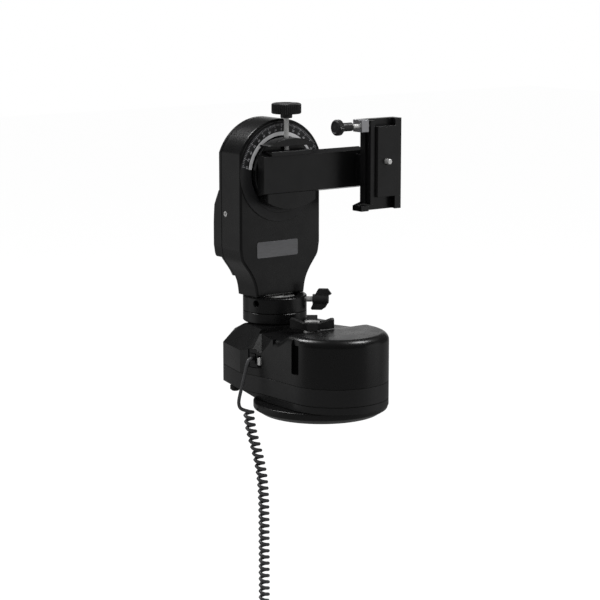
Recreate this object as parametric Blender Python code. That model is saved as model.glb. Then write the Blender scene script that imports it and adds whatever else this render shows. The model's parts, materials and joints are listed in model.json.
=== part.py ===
"""Motorized camera head: a turning base, one upright arm and a dovetail saddle with a camera bracket.

Every size is in millimetres and becomes metres when a piece is finished.
X runs along the arm's face, Y towards the arm's back and Z up.
The origin is the middle of the tripod seat, on the azimuth axis.
"""
import math

import bmesh
import bpy
import numpy as np
from mathutils import Matrix, Vector

MM = 0.001
ROUND = 20
FINE_STEPS = 36
DRUM_STEPS = 11

# Clearances and walls
GAP = 0.3
WALL = 3.5

# Fixed flange, with the tripod screw's insert
FLANGE_RADIUS = 70.0
FLANGE_FOOT_RADIUS = 62.0
FLANGE_HEIGHT = 12.0
FLANGE_CHAMFER = 5.5
SCREW_HOLE_RADIUS = 4.9
INSERT_RADIUS = 9.0
INSERT_HEIGHT = 19.5

# Azimuth spindle, its bearing, worm wheel and clutch plate
SPINDLE_FOOT_RADIUS = 24.0
SPINDLE_FOOT_HEIGHT = 2.7
SPINDLE_RADIUS = 18.0
SPINDLE_NECK_RADIUS = 12.0
SPINDLE_BORE_RADIUS = 5.5
BEARING_HEIGHT = 14.0
BEARING_OUTER_RADIUS = 27.5
HUB_RADIUS = 32.0
WHEEL_CLEARANCE = 3.0
WHEEL_HEIGHT = 8.0
CLUTCH_RADIUS = 26.0
CLUTCH_HEIGHT = 3.0

# Worm drives
WHEEL_TEETH = 40
AZIMUTH_WHEEL_RADIUS = 36.0
ALTITUDE_WHEEL_RADIUS = 30.0
WORM_RADIUS = 6.0
WORM_TURNS = 3.0
WORM_SHAFT_RADIUS = 2.5
WORM_STUB = 9.0
MOTOR_RADIUS = 16.0
MOTOR_LENGTH = 50.0
MOTOR_OFFSET = 31.0
GEARBOX_LENGTH = 18.0
GEARBOX_MARGIN = 6.2
BRACKET_WALL = 4.0
BRACKET_HALF = 5.0
BOARD_LENGTH = 76.0
BOARD_WIDTH = 40.0
BOARD_THICKNESS = 1.6
BOARD_FRONT_Y = 72.0

# Turning base: a D-shaped drum in front and a box with a hipped roof behind
DRUM_RADIUS = 55.0
DRUM_CENTRE_Y = -25.0
DRUM_BACK_Y = 14.0
DRUM_EDGE = 8.5
BOX_FRONT_Y = 9.0
BOX_CORNER_FRONT = (56.0, 27.0)
BOX_CORNER_SIDE = (62.0, 57.0)
BOX_CORNER_REAR = (50.0, 105.0)
BOX_CORNER_BACK = (38.0, 122.0)
ROOF_CORNER_SIDE = (43.0, 44.0)
ROOF_CORNER_REAR = (36.0, 85.0)
ROOF_CORNER_BACK = (28.0, 101.0)
SEAM_LOW_Z = 20.0
SEAM_HIGH_Z = 38.5
EAVE_Z = 62.0
EAVE_DIP_Z = 63.0
EAVE_PEAK_Z = 66.0
EAVE_BACK_Z = 57.5
VALLEY_Z = 80.0
PEDESTAL_Z = 84.0
DECK_Z = 88.0
PEDESTAL_FRONT_Y = 45.0
VALLEY_FRONT_Y = 4.0
DECK_SLOPE_LENGTH = 20.0
BACK_SLOPE_Y = 84.5
BACK_SLOPE = 0.46
BOSS_RADIUS = 28.5
PLATE_REAR = (44.0, 74.0)
PLATE_CHAMFER = 9.0
GROOVE_Y = DRUM_CENTRE_Y - 3.5
GROOVE_WIDTH = 11.0
GROOVE_DEPTH = 2.6
GROOVE_FLOOR_Z = 50.0
FOOT_RADIUS = 5.5
FOOT_HEIGHT = 5.8
FOOT_PLACE = (52.0, 80.0)

# Handset port and power switch on the box's side
PORT_Y = 39.5
PORT_Z = 56.0
SOCKET_WIDTH = 11.6
SOCKET_HEIGHT = 19.0
SOCKET_DEPTH = 15.0
PLUG_WIDTH = 6.7
PLUG_HEIGHT = 9.7
PLUG_DEPTH = 12.0
PLUG_PLAY = 0.4
RIM_DROP = 6.0
SWITCH_Y = 29.8
SWITCH_Z = 54.0
SWITCH_WIDTH = 5.2
SWITCH_HEIGHT = 13.0
SWITCH_DEPTH = 8.0
SLIDER_WIDTH = 3.4
SLIDER_HEIGHT = 7.6
SLIDER_TRAVEL = 1.6

# Azimuth lock: a four-winged knob on the deck
LOCK_Y = 14.5
LOCK_STUD_RADIUS = 3.0
LOCK_PAD_RADIUS = 3.5
LOCK_PAD_HEIGHT = 3.0
LOCK_WASHER_RADIUS = 9.0
LOCK_WASHER_HEIGHT = 2.9
LOCK_HUB_RADIUS = 8.0
LOCK_HUB_HEIGHT = 7.0
LOCK_CAP_RADIUS = 7.8
LOCK_WING_RADIUS = 22.9
LOCK_WING_HEIGHT = 11.4
LOCK_WING_THICKNESS = 11.5
LOCK_WING_ANGLES = (-37.0, 53.0, 143.0, 233.0)

# Collar and swivel under the arm
COLLAR_Y = 80.0
COLLAR_RADIUS = 34.0
COLLAR_SEAM_Z = 96.0
COLLAR_TOP_Z = 112.0
COLLAR_EDGE = 1.6
POST_FLANGE_RADIUS = 22.0
POST_RADIUS = 15.0
POST_NECK_RADIUS = 10.0
POST_BORE_RADIUS = 6.0
POST_FLANGE_HEIGHT = 4.0
BUSH_WALL = 4.4
CAP_RADIUS = 21.0
CAP_HEIGHT = 6.0
ARM_LOCK_Z = 107.0
ARM_LOCK_ANGLE = -42.0
ARM_LOCK_RADIUS = 3.0
ARM_LOCK_HEAD_START = 40.5
ARM_LOCK_HEAD_LENGTH = 17.0
ARM_LOCK_WING_SPAN = 11.3
ARM_LOCK_WING_THICKNESS = 5.0
ARM_PAD_LENGTH = 2.5
SET_HOLE_ANGLE = -162.0
SET_HOLE_RADIUS = 2.6
SET_HOLE_RIM_RADIUS = 4.0

# Arm
ARM_FACE_Y = 69.0
ARM_SEAM_Y = 103.0
ARM_BACK_Y = 109.0
BULGE_BACK_Y = 121.5
ARM_HALF_WIDTH = 52.0
NECK_HALF_WIDTH = 31.0
HEAD_SWELL = 4.0
HEAD_RADIUS = ARM_HALF_WIDTH + HEAD_SWELL
ALTITUDE_Z = 243.0
SHOULDER_Z = 165.0
SHOULDER_CURVE = ((0.0, 0.0), (0.19, 0.07), (0.34, 0.19), (0.51, 0.43), (0.66, 0.71), (0.78, 0.9), (1.0, 1.0))
ARM_EDGE = 2.5
COVER_FOOT_Z = 132.0
BULGE_FOOT_Z = 152.5
BULGE_TOP_Z = 226.0
BULGE_CREST_Z = 190.0
CAVITY_FLOOR_Z = 118.0
CIRCLE_OUTER_RADIUS = ARM_HALF_WIDTH
CIRCLE_WIDTH = 13.4
CIRCLE_INNER_RADIUS = CIRCLE_OUTER_RADIUS - CIRCLE_WIDTH
CIRCLE_THICKNESS = 1.0
COVER_SCREW_Z = 200.0
COVER_SCREW_RADIUS = 3.0

# Altitude shaft and bearings
SHAFT_RADIUS = 9.0
SHAFT_FRONT_Y = 63.0
SHAFT_BACK_Y = 101.0
SHAFT_COLLAR_RADIUS = 12.0
SHAFT_COLLAR_WIDTH = 3.0
ALTITUDE_BEARING_RADIUS = 15.0
ALTITUDE_BEARING_WIDTH = 7.0
BEARING_BOSS_WALL = 4.0
ALTITUDE_WHEEL_Y = 84.5
ALTITUDE_WHEEL_WIDTH = 6.0

# Saddle, which clamps the dovetail bar
SADDLE_RADIUS = 37.5
SADDLE_BACK_Y = 67.4
SADDLE_SEAT_Y = 62.0
SADDLE_FRONT_Y = 49.0
SADDLE_HALF_LENGTH = 31.0
LUG_FOOT = 29.0
LUG_TOP = 37.4
LOWER_JAW_DEPTH = 37.0
CLAMP_Y = 59.0
CLAMP_SCREW_RADIUS = 2.6
CLAMP_HUB_RADIUS = 6.2
CLAMP_HUB_RISE = 20.1
CLAMP_HUB_LENGTH = 4.5
CLAMP_HEAD_RADIUS = 15.6
CLAMP_HEAD_HEIGHT = 11.0
CLAMP_LOBES = 10
JAW_TOP = 24.0
JAW_HALF_LENGTH = 26.0

# Dovetail bar and camera bracket
BAR_HALF_BACK = 22.0
BAR_HALF_FRONT = 19.2
BAR_THICKNESS = 11.4
BAR_NEAR_X = -35.0
BAR_FAR_X = 98.4
BOSS_NEAR_X = 86.0
BOSS_FAR_X = 112.0
BOSS_HALF_HEIGHT = 15.0
BOSS_MERGE = 0.5
UPRIGHT_BACK_Y = 36.0
UPRIGHT_WALL = 8.0
UPRIGHT_NEAR_X = 80.0
UPRIGHT_FAR_X = 124.0
UPRIGHT_FOOT_Z = 200.4
UPRIGHT_TOP_Z = 297.0
UPRIGHT_TAB = 10.0
UPRIGHT_TAB_HEIGHT = 5.6
LIP_DEPTH = 7.0
BOLT_RADIUS = 4.0
BOLT_HEAD_RADIUS = 6.5
BOLT_HEAD_HEIGHT = 3.6
BOLT_LENGTH = 22.0
SHOE_X = 102.0
SHOE_Z = 252.0
SHOE_HALF_BACK = 15.5
SHOE_SLOPE = 0.31
SHOE_THICKNESS = 9.7
SHOE_HALF_LENGTH = 37.5
CAMERA_SCREW_RADIUS = 3.1
CAMERA_SCREW_HEAD_RADIUS = 8.0
CAMERA_SCREW_HEAD_HEIGHT = 4.0
CAMERA_SCREW_REACH = 5.5
SHOE_JAW_FOOT_Z = 207.0
SHOE_JAW_TOP_Z = 296.0
SHOE_JAW_NEAR_X = 82.0
CLAMP_BLOCK_HEIGHT = 13.0
SHOE_CLAMP_Z = 290.5
SHOE_CLAMP_Y = 25.2
SHOE_CLAMP_SCREW_RADIUS = 2.4
SHOE_CLAMP_KNOB_X = 37.5
SHOE_CLAMP_KNOB_LENGTH = 7.0
SHOE_CLAMP_KNOB_RADIUS = 8.4
SHOE_CLAMP_HUB_RADIUS = 4.5
SHOE_CLAMP_HUB_LENGTH = 15.0

# Handset cord: a straight lead from the port and curls that hang below it
CORD_DIAMETER = 3.6
CURL_RADIUS = 4.2
CURL_PITCH = 6.8
CURL_COUNT = 31
CURL_POINTS = 8
CURL_TOP = (-65.0, 37.4, 2.0)
CURL_FRONT = (-0.6, -0.8)
CURL_SWING = 15.4
CURL_SWING_HEIGHT = 50.0
CORD_TAIL = 14.0
LEAD_STEP = 3.6
LEAD_ROUTE = (
    (-65.6, 38.0, 54.0),
    (-67.4, 37.6, 49.5),
    (-69.0, 37.7, 43.0),
    (-72.6, 38.9, 28.0),
    (-75.4, 40.1, 15.0),
    (-75.8, 40.3, 9.0),
    (-74.6, 39.5, 4.9),
)

# Finishes: colour, roughness, metallic
BLACK_SATIN = ((0.022, 0.022, 0.024), 0.42, 0.0)
BLACK_PLASTIC = ((0.018, 0.018, 0.019), 0.5, 0.0)
BLACK_METAL = ((0.03, 0.03, 0.032), 0.4, 0.6)
RUBBER = ((0.015, 0.015, 0.015), 0.8, 0.0)
STEEL = ((0.62, 0.62, 0.64), 0.25, 1.0)
ALUMINIUM = ((0.72, 0.72, 0.74), 0.35, 1.0)
BRASS = ((0.72, 0.52, 0.22), 0.35, 1.0)
MOTOR_GREY = ((0.3, 0.31, 0.33), 0.4, 0.8)
BOARD_GREEN = ((0.02, 0.16, 0.06), 0.5, 0.0)
CORD_BLACK = ((0.014, 0.014, 0.015), 0.45, 0.0)


def clear_scene():
    for obj in list(bpy.data.objects):
        bpy.data.objects.remove(obj, do_unlink=True)


def solid(bm):
    """Turn a bmesh into an object with its faces pointing out."""
    bmesh.ops.recalc_face_normals(bm, faces=bm.faces)
    mesh = bpy.data.meshes.new("piece")
    bm.to_mesh(mesh)
    bm.free()
    obj = bpy.data.objects.new("piece", mesh)
    bpy.context.collection.objects.link(obj)
    return obj


def combine(target, tool, operation):
    """Join or cut a target with a tool, which is used up."""
    modifier = target.modifiers.new("combine", "BOOLEAN")
    modifier.operation = operation
    modifier.solver = "EXACT"
    modifier.object = tool
    bpy.context.view_layer.update()
    depsgraph = bpy.context.evaluated_depsgraph_get()
    result = bpy.data.meshes.new_from_object(target.evaluated_get(depsgraph))
    target.modifiers.clear()
    target.data = result
    weld(result)
    bpy.data.objects.remove(tool, do_unlink=True)
    return target


def weld(mesh):
    """Merge the doubled corners that a cut leaves where faces nearly meet."""
    bm = bmesh.new()
    bm.from_mesh(mesh)
    bmesh.ops.remove_doubles(bm, verts=bm.verts, dist=0.002)
    bmesh.ops.dissolve_degenerate(bm, dist=0.002, edges=bm.edges)
    bm.to_mesh(mesh)
    bm.free()


def join(target, tool):
    return combine(target, tool, "UNION")


def cut(target, tool):
    return combine(target, tool, "DIFFERENCE")


def finish(obj, name, look, pivot=(0.0, 0.0, 0.0)):
    """Name a piece, put its origin on its pivot, size it in metres and give it its own material."""
    obj.name = name
    obj.data.name = name
    obj.data.transform(Matrix.Translation(-Vector(pivot)))
    obj.data.transform(Matrix.Scale(MM, 4))
    obj.location = Vector(pivot) * MM
    obj.data.materials.clear()
    obj.data.materials.append(material(name, look))
    obj.data.shade_smooth()
    obj.data.set_sharp_from_angle(angle=math.radians(32.0))
    return obj


def material(name, look):
    colour, roughness, metallic = look
    result = bpy.data.materials.new(name)
    result.use_nodes = True
    shader = result.node_tree.nodes["Principled BSDF"]
    shader.inputs["Base Color"].default_value = (*colour, 1.0)
    shader.inputs["Roughness"].default_value = roughness
    shader.inputs["Metallic"].default_value = metallic
    return result


def loft(rings):
    """Skin a stack of rings that have the same number of points, and cap both ends."""
    bm = bmesh.new()
    loops = [[bm.verts.new(point) for point in ring] for ring in rings]
    skin(bm, loops)
    bm.faces.new(loops[0])
    bm.faces.new(loops[-1])
    return solid(bm)


def skin(bm, loops):
    """Join closed loops one after another, each four-sided face split along its shorter diagonal."""
    count = len(loops[0])
    sides = []
    for low, high in zip(loops, loops[1:]):
        for k in range(count):
            n = (k + 1) % count
            sides.append(bm.faces.new((low[k], low[n], high[n], high[k])))
    bmesh.ops.triangulate(bm, faces=sides, quad_method="SHORT_EDGE")


def flat(outline, z):
    return [(x, y, z) for x, y in outline]


def upright(outline, y):
    return [(x, y, z) for x, z in outline]


def prism(outline, low, high):
    return loft([flat(outline, low), flat(outline, high)])


def slab(outline, front, back):
    """A plate whose outline lies in the X-Z plane."""
    return loft([upright(outline, front), upright(outline, back)])


def block(low, high):
    outline = [(low[0], low[1]), (high[0], low[1]), (high[0], high[1]), (low[0], high[1])]
    return prism(outline, low[2], high[2])


def turned(profile, steps=ROUND):
    """Spin a profile of (radius, height) points about Z; a chain that starts and ends at 0 is solid."""
    bm = bmesh.new()
    rings = []
    for radius, height in profile:
        if radius == 0.0:
            rings.append([bm.verts.new((0.0, 0.0, height))])
            continue
        angles = [math.tau * k / steps for k in range(steps)]
        rings.append([bm.verts.new((radius * math.cos(a), radius * math.sin(a), height)) for a in angles])
    for low, high in zip(rings, rings[1:] + rings[:1]):
        if len(low) == 1 and len(high) == 1:
            continue
        for k in range(steps):
            n = k + 1
            corners = [low[k % len(low)], low[n % len(low)], high[n % len(high)], high[k % len(high)]]
            bm.faces.new(list(dict.fromkeys(corners)))
    return solid(bm)


def rod(radius, low, high, steps=ROUND):
    return turned([(0.0, low), (radius, low), (radius, high), (0.0, high)], steps)


def ring(inner, outer, low, high, steps=ROUND):
    return turned([(inner, low), (outer, low), (outer, high), (inner, high)], steps)


def move(obj, matrix):
    obj.data.transform(matrix)
    return obj


def shift(obj, x, y, z):
    return move(obj, Matrix.Translation((x, y, z)))


def along_x(obj, y, z):
    """Lay a piece built about Z along X, through the point (y, z)."""
    return shift(move(obj, Matrix.Rotation(math.radians(90.0), 4, "Y")), 0.0, y, z)


def along_y(obj, x, z):
    """Lay a piece built about Z along Y, so that its height becomes Y."""
    return shift(move(obj, Matrix.Rotation(math.radians(-90.0), 4, "X")), x, 0.0, z)


def mirrored(half):
    """Close a half outline that runs from the middle of the front round +X to the back."""
    return half + [(-x, y) for x, y in reversed(half) if x > 1e-6]


def inset(outline, distance):
    """Move every side of a counterclockwise outline inward by the same distance."""
    result = []
    count = len(outline)
    for k in range(count):
        before = Vector(outline[k - 1])
        here = Vector(outline[k])
        after = Vector(outline[(k + 1) % count])
        first = (here - before).normalized()
        second = (after - here).normalized()
        normal_a = Vector((-first.y, first.x))
        normal_b = Vector((-second.y, second.x))
        bisector = (normal_a + normal_b) * (distance / (1.0 + normal_a.dot(normal_b)))
        result.append(tuple(here + bisector))
    return result


def arc(centre, radius, start, end, steps):
    """Points of an arc, with its angles in degrees."""
    angles = [math.radians(start + (end - start) * k / steps) for k in range(steps + 1)]
    return [(centre[0] + radius * math.cos(a), centre[1] + radius * math.sin(a)) for a in angles]


PLATE_Z = FLANGE_HEIGHT + GAP
SPINDLE_SHOULDER_Z = PLATE_Z + SPINDLE_FOOT_HEIGHT
BEARING_TOP_Z = SPINDLE_SHOULDER_Z + GAP + BEARING_HEIGHT
HUB_TOP_Z = BEARING_TOP_Z + 1.7
WHEEL_SEAT_Z = HUB_TOP_Z + WHEEL_CLEARANCE
WHEEL_Z = WHEEL_SEAT_Z + GAP
WHEEL_TOP_Z = WHEEL_Z + WHEEL_HEIGHT
CLUTCH_Z = WHEEL_TOP_Z + GAP
CLUTCH_TOP_Z = CLUTCH_Z + CLUTCH_HEIGHT
LOCK_PAD_Z = CLUTCH_TOP_Z + GAP
WORM_Z = WHEEL_Z + WHEEL_HEIGHT / 2.0
WORM_Y = AZIMUTH_WHEEL_RADIUS + WORM_RADIUS
CLAMP_HUB_Z = ALTITUDE_Z + LUG_TOP + CLAMP_HUB_RISE
CLAMP_HEAD_Z = CLAMP_HUB_Z + CLAMP_HUB_LENGTH
CLAMP_TOP_Z = CLAMP_HEAD_Z + CLAMP_HEAD_HEIGHT


def tripod_side():
    """The flange, its insert and the spindle with the fixed wheel and clutch plate."""
    bore = INSERT_RADIUS + GAP
    flange = turned([
        (bore, 0.0), (FLANGE_FOOT_RADIUS, 0.0), (FLANGE_RADIUS, FLANGE_CHAMFER),
        (FLANGE_RADIUS, FLANGE_HEIGHT - 1.0), (FLANGE_RADIUS - 1.0, FLANGE_HEIGHT), (bore, FLANGE_HEIGHT),
    ], 44)
    finish(flange, "tripod_flange", BLACK_SATIN)
    insert = ring(SCREW_HOLE_RADIUS, INSERT_RADIUS, 0.4, INSERT_HEIGHT)
    finish(insert, "tripod_thread_insert", BRASS)
    top = CLUTCH_TOP_Z - GAP
    step = INSERT_HEIGHT + GAP
    spindle = turned([
        (bore, PLATE_Z), (SPINDLE_FOOT_RADIUS, PLATE_Z), (SPINDLE_FOOT_RADIUS, SPINDLE_SHOULDER_Z),
        (SPINDLE_RADIUS, SPINDLE_SHOULDER_Z), (SPINDLE_RADIUS, WHEEL_SEAT_Z),
        (SPINDLE_NECK_RADIUS, WHEEL_SEAT_Z), (SPINDLE_NECK_RADIUS, top),
        (SPINDLE_BORE_RADIUS, top), (SPINDLE_BORE_RADIUS, step), (bore, step),
    ])
    finish(spindle, "azimuth_spindle", STEEL)
    wheel = worm_wheel(AZIMUTH_WHEEL_RADIUS, SPINDLE_NECK_RADIUS + GAP, WHEEL_Z, WHEEL_TOP_Z, 90.0)
    finish(wheel, "azimuth_worm_wheel", BRASS)
    clutch = ring(SPINDLE_NECK_RADIUS + GAP, CLUTCH_RADIUS, CLUTCH_Z, CLUTCH_TOP_Z)
    finish(clutch, "azimuth_clutch_plate", STEEL)


def worm_wheel(radius, bore, low, high, gap_angle):
    """A straight-toothed wheel with the middle of a tooth gap at gap_angle degrees."""
    pitch = math.tau * radius / WHEEL_TEETH
    root = radius - 0.36 * pitch
    tip = radius + 0.24 * pitch
    outer = []
    for tooth in range(WHEEL_TEETH):
        for share, distance in ((0.26, root), (0.38, tip), (0.62, tip), (0.74, root)):
            angle = math.radians(gap_angle) + math.tau * (tooth + share) / WHEEL_TEETH
            outer.append((distance * math.cos(angle), distance * math.sin(angle)))
    return cut(prism(outer, low, high), rod(bore, low - 5.0, high + 5.0))


def worm(wheel_radius, crest_angle):
    """A single-start worm along X with a crest at X = 0 towards crest_angle, and a plain shaft."""
    pitch = math.tau * wheel_radius / WHEEL_TEETH
    root = WORM_RADIUS - 0.30 * pitch
    height = 0.46 * pitch
    half = WORM_TURNS * pitch / 2.0
    steps = 10
    per_pitch = 6
    count = int(WORM_TURNS * per_pitch)
    shaft = half + WORM_STUB
    rings = [[] for _ in range(count + 5)]
    positions = [-half + 2.0 * half * k / count for k in range(count + 1)]
    for k in range(steps):
        angle = math.tau * k / steps
        turn = (angle - math.radians(crest_angle)) / math.tau
        column = [(-shaft, WORM_SHAFT_RADIUS), (-half, WORM_SHAFT_RADIUS)]
        for x in positions:
            offset = abs((x / pitch - turn + 0.5) % 1.0 - 0.5)
            flank = min(1.0, max(0.0, (0.25 - offset) / 0.14))
            ends = min(1.0, max(0.0, (half - abs(x)) / (0.5 * pitch)))
            column.append((x, root + height * flank * ends))
        column += [(half, WORM_SHAFT_RADIUS), (shaft, WORM_SHAFT_RADIUS)]
        for index, (x, radius) in enumerate(column):
            rings[index].append((x, radius * math.cos(angle), radius * math.sin(angle)))
    return loft(rings)


def base_half():
    """Half of the base's outline, from the drum's front round +X to the box's back."""
    front_arc = arc((0.0, DRUM_CENTRE_Y), DRUM_RADIUS, -90.0, 0.0, DRUM_STEPS)
    return front_arc + [BOX_CORNER_FRONT, BOX_CORNER_SIDE, BOX_CORNER_REAR, BOX_CORNER_BACK]


def wall_point(y):
    """X of the box's side wall between its front and side corners."""
    share = (y - BOX_CORNER_FRONT[1]) / (BOX_CORNER_SIDE[1] - BOX_CORNER_FRONT[1])
    return BOX_CORNER_FRONT[0] + share * (BOX_CORNER_SIDE[0] - BOX_CORNER_FRONT[0])


def side_frame(y, z):
    """A frame on the box's left wall: X along the wall, Y outward and Z up."""
    back = BOX_CORNER_SIDE[1] - BOX_CORNER_FRONT[1]
    along = Vector((BOX_CORNER_FRONT[0] - BOX_CORNER_SIDE[0], back, 0.0))
    along.normalize()
    outward = Vector((-along.y, along.x, 0.0))
    frame = Matrix((along, outward, Vector((0.0, 0.0, 1.0)))).transposed().to_4x4()
    frame.translation = Vector((-wall_point(y), y, z))
    return frame


def base_plates():
    """The bottom plate with the bearing's hub, and the lower casing with its floor."""
    front_arc = arc((0.0, DRUM_CENTRE_Y), DRUM_RADIUS, -90.0, 0.0, DRUM_STEPS)
    side = (BOX_CORNER_SIDE[0] - 1.0, BOX_CORNER_SIDE[1] - 3.0)
    top = mirrored(front_arc + [BOX_CORNER_FRONT, side, PLATE_REAR])
    low_front = (BOX_CORNER_FRONT[0] - 2.0, BOX_CORNER_FRONT[1] - 3.0)
    low_side = (side[0] - PLATE_CHAMFER, side[1] - PLATE_CHAMFER)
    low_rear = (PLATE_REAR[0] - PLATE_CHAMFER, PLATE_REAR[1] - PLATE_CHAMFER)
    bottom = mirrored(front_arc + [low_front, low_side, low_rear])
    plate = loft([flat(bottom, PLATE_Z), flat(top, SEAM_LOW_Z - GAP)])
    join(plate, rod(HUB_RADIUS, PLATE_Z + 1.0, HUB_TOP_Z, FINE_STEPS))
    bore = BEARING_OUTER_RADIUS + GAP
    cut(plate, rod(bore, PLATE_Z - 1.0, HUB_TOP_Z + 1.0, FINE_STEPS))
    finish(plate, "base_bottom_plate", BLACK_SATIN)
    bearing = ring(SPINDLE_RADIUS + GAP, BEARING_OUTER_RADIUS, SPINDLE_SHOULDER_Z + GAP, BEARING_TOP_Z)
    finish(bearing, "azimuth_bearing", STEEL)

    outline = mirrored(base_half())
    casing = prism(outline, SEAM_LOW_Z, SEAM_HIGH_Z - GAP)
    cut(casing, prism(inset(outline, WALL), SEAM_LOW_Z + WALL, SEAM_HIGH_Z + 5.0))
    cut(casing, rod(HUB_RADIUS + GAP, SEAM_LOW_Z - 5.0, SEAM_HIGH_Z, FINE_STEPS))
    finish(casing, "base_lower_casing", BLACK_SATIN)

    for side_name, sign in (("left", -1.0), ("right", 1.0)):
        top_z = SEAM_LOW_Z - GAP
        foot = turned([
            (0.0, top_z - FOOT_HEIGHT), (0.6 * FOOT_RADIUS, top_z - FOOT_HEIGHT),
            (FOOT_RADIUS, top_z - 0.7 * FOOT_HEIGHT), (FOOT_RADIUS, top_z), (0.0, top_z),
        ], 20)
        shift(foot, sign * FOOT_PLACE[0], FOOT_PLACE[1], 0.0)
        finish(foot, "underside_foot_" + side_name, RUBBER)


def deck_height(y):
    """Height of the drum's deck, which falls into the valley in front of the pedestal."""
    share = min(1.0, max(0.0, (VALLEY_FRONT_Y - y) / DECK_SLOPE_LENGTH))
    return VALLEY_Z + (DECK_Z - VALLEY_Z) * (0.5 - 0.5 * math.cos(math.pi * share))


def box_rings(distance, low, drop):
    """The box's wall, eave and roof rings, all moved inward by the same distance."""
    peak_y = ROOF_CORNER_SIDE[1] - 5.0
    side_peak = (wall_point(peak_y), peak_y)
    front = (DRUM_RADIUS - 0.1, BOX_FRONT_Y)
    wall = mirrored([(0.0, BOX_FRONT_Y), front, BOX_CORNER_FRONT, side_peak,
                     BOX_CORNER_SIDE, BOX_CORNER_REAR, BOX_CORNER_BACK])
    roof = mirrored([(0.0, BOX_FRONT_Y), (0.5 * DRUM_RADIUS, BOX_FRONT_Y), (front[0] - 0.5, BOX_FRONT_Y),
                     ROOF_CORNER_SIDE, (ROOF_CORNER_SIDE[0] - 0.5, ROOF_CORNER_SIDE[1] + 3.0),
                     ROOF_CORNER_REAR, ROOF_CORNER_BACK])
    wall = inset(wall, distance)
    roof = inset(roof, distance)
    half = [VALLEY_Z, VALLEY_Z, EAVE_DIP_Z, EAVE_PEAK_Z, EAVE_Z, EAVE_Z, EAVE_BACK_Z]
    heights = half + half[:0:-1]
    eave = [(x, y, z - drop) for (x, y), z in zip(wall, heights)]
    return [flat(wall, low), eave, flat(roof, PEDESTAL_Z - drop)]


def drum(distance, low, drop, steps, edge_steps):
    """The drum with a rounded top edge that follows its deck, all moved inward by the same distance."""
    side = [(DRUM_RADIUS, VALLEY_FRONT_Y - DECK_SLOPE_LENGTH * (1.0 - k / 5.0)) for k in range(6)]
    half = arc((0.0, DRUM_CENTRE_Y), DRUM_RADIUS, -90.0, 0.0, steps) + side + [(DRUM_RADIUS, DRUM_BACK_Y)]
    outline = open_back(mirrored(half), distance)
    bm = bmesh.new()
    loops = [[bm.verts.new(point) for point in flat(outline, low)]]
    for k in range(edge_steps + 1):
        angle = math.pi / 2.0 * k / edge_steps
        down = drop + DRUM_EDGE * (1.0 - math.sin(angle))
        line = open_back(outline, DRUM_EDGE * (1.0 - math.cos(angle)))
        loops.append([bm.verts.new((x, y, deck_height(y) - down)) for x, y in line])
    skin(bm, loops)
    bm.faces.new(loops[0])
    deck = loops[-1]
    count = len(deck)
    bm.faces.new((deck[0], deck[1], deck[-1]))
    for k in range(1, count // 2):
        bm.faces.new((deck[k], deck[k + 1], deck[count - k - 1], deck[count - k]))
    return solid(bm)


def open_back(outline, distance):
    """Move the drum's outline inward everywhere but at its back, which lies inside the box."""
    return [(x, DRUM_BACK_Y if old_y == DRUM_BACK_Y else y)
            for (x, y), (old_x, old_y) in zip(inset(outline, distance), outline)]


def across(profile):
    """A tool right across the base with a profile of (y, z) points."""
    reach = 2.0 * DRUM_RADIUS
    return loft([[(x, y, z) for y, z in profile] for x in (-reach, reach)])


def valley_tool(forward, drop):
    """What is cut away above the valley, from inside the drum to the pedestal."""
    low = VALLEY_Z - drop
    front = BOX_FRONT_Y - 5.0
    back = PEDESTAL_FRONT_Y + forward
    return across([(front, low), (back, low), (back, DECK_Z + 5.0), (front, DECK_Z + 5.0)])


def back_tool(drop):
    """What is cut away above the roof's slope behind the collar."""
    far = BOX_CORNER_BACK[1] + 10.0
    start = PEDESTAL_Z - drop
    end = start - BACK_SLOPE * (far - BACK_SLOPE_Y)
    return across([(BACK_SLOPE_Y, start), (far, end), (far, DECK_Z + 5.0), (BACK_SLOPE_Y, DECK_Z + 5.0)])


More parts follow.
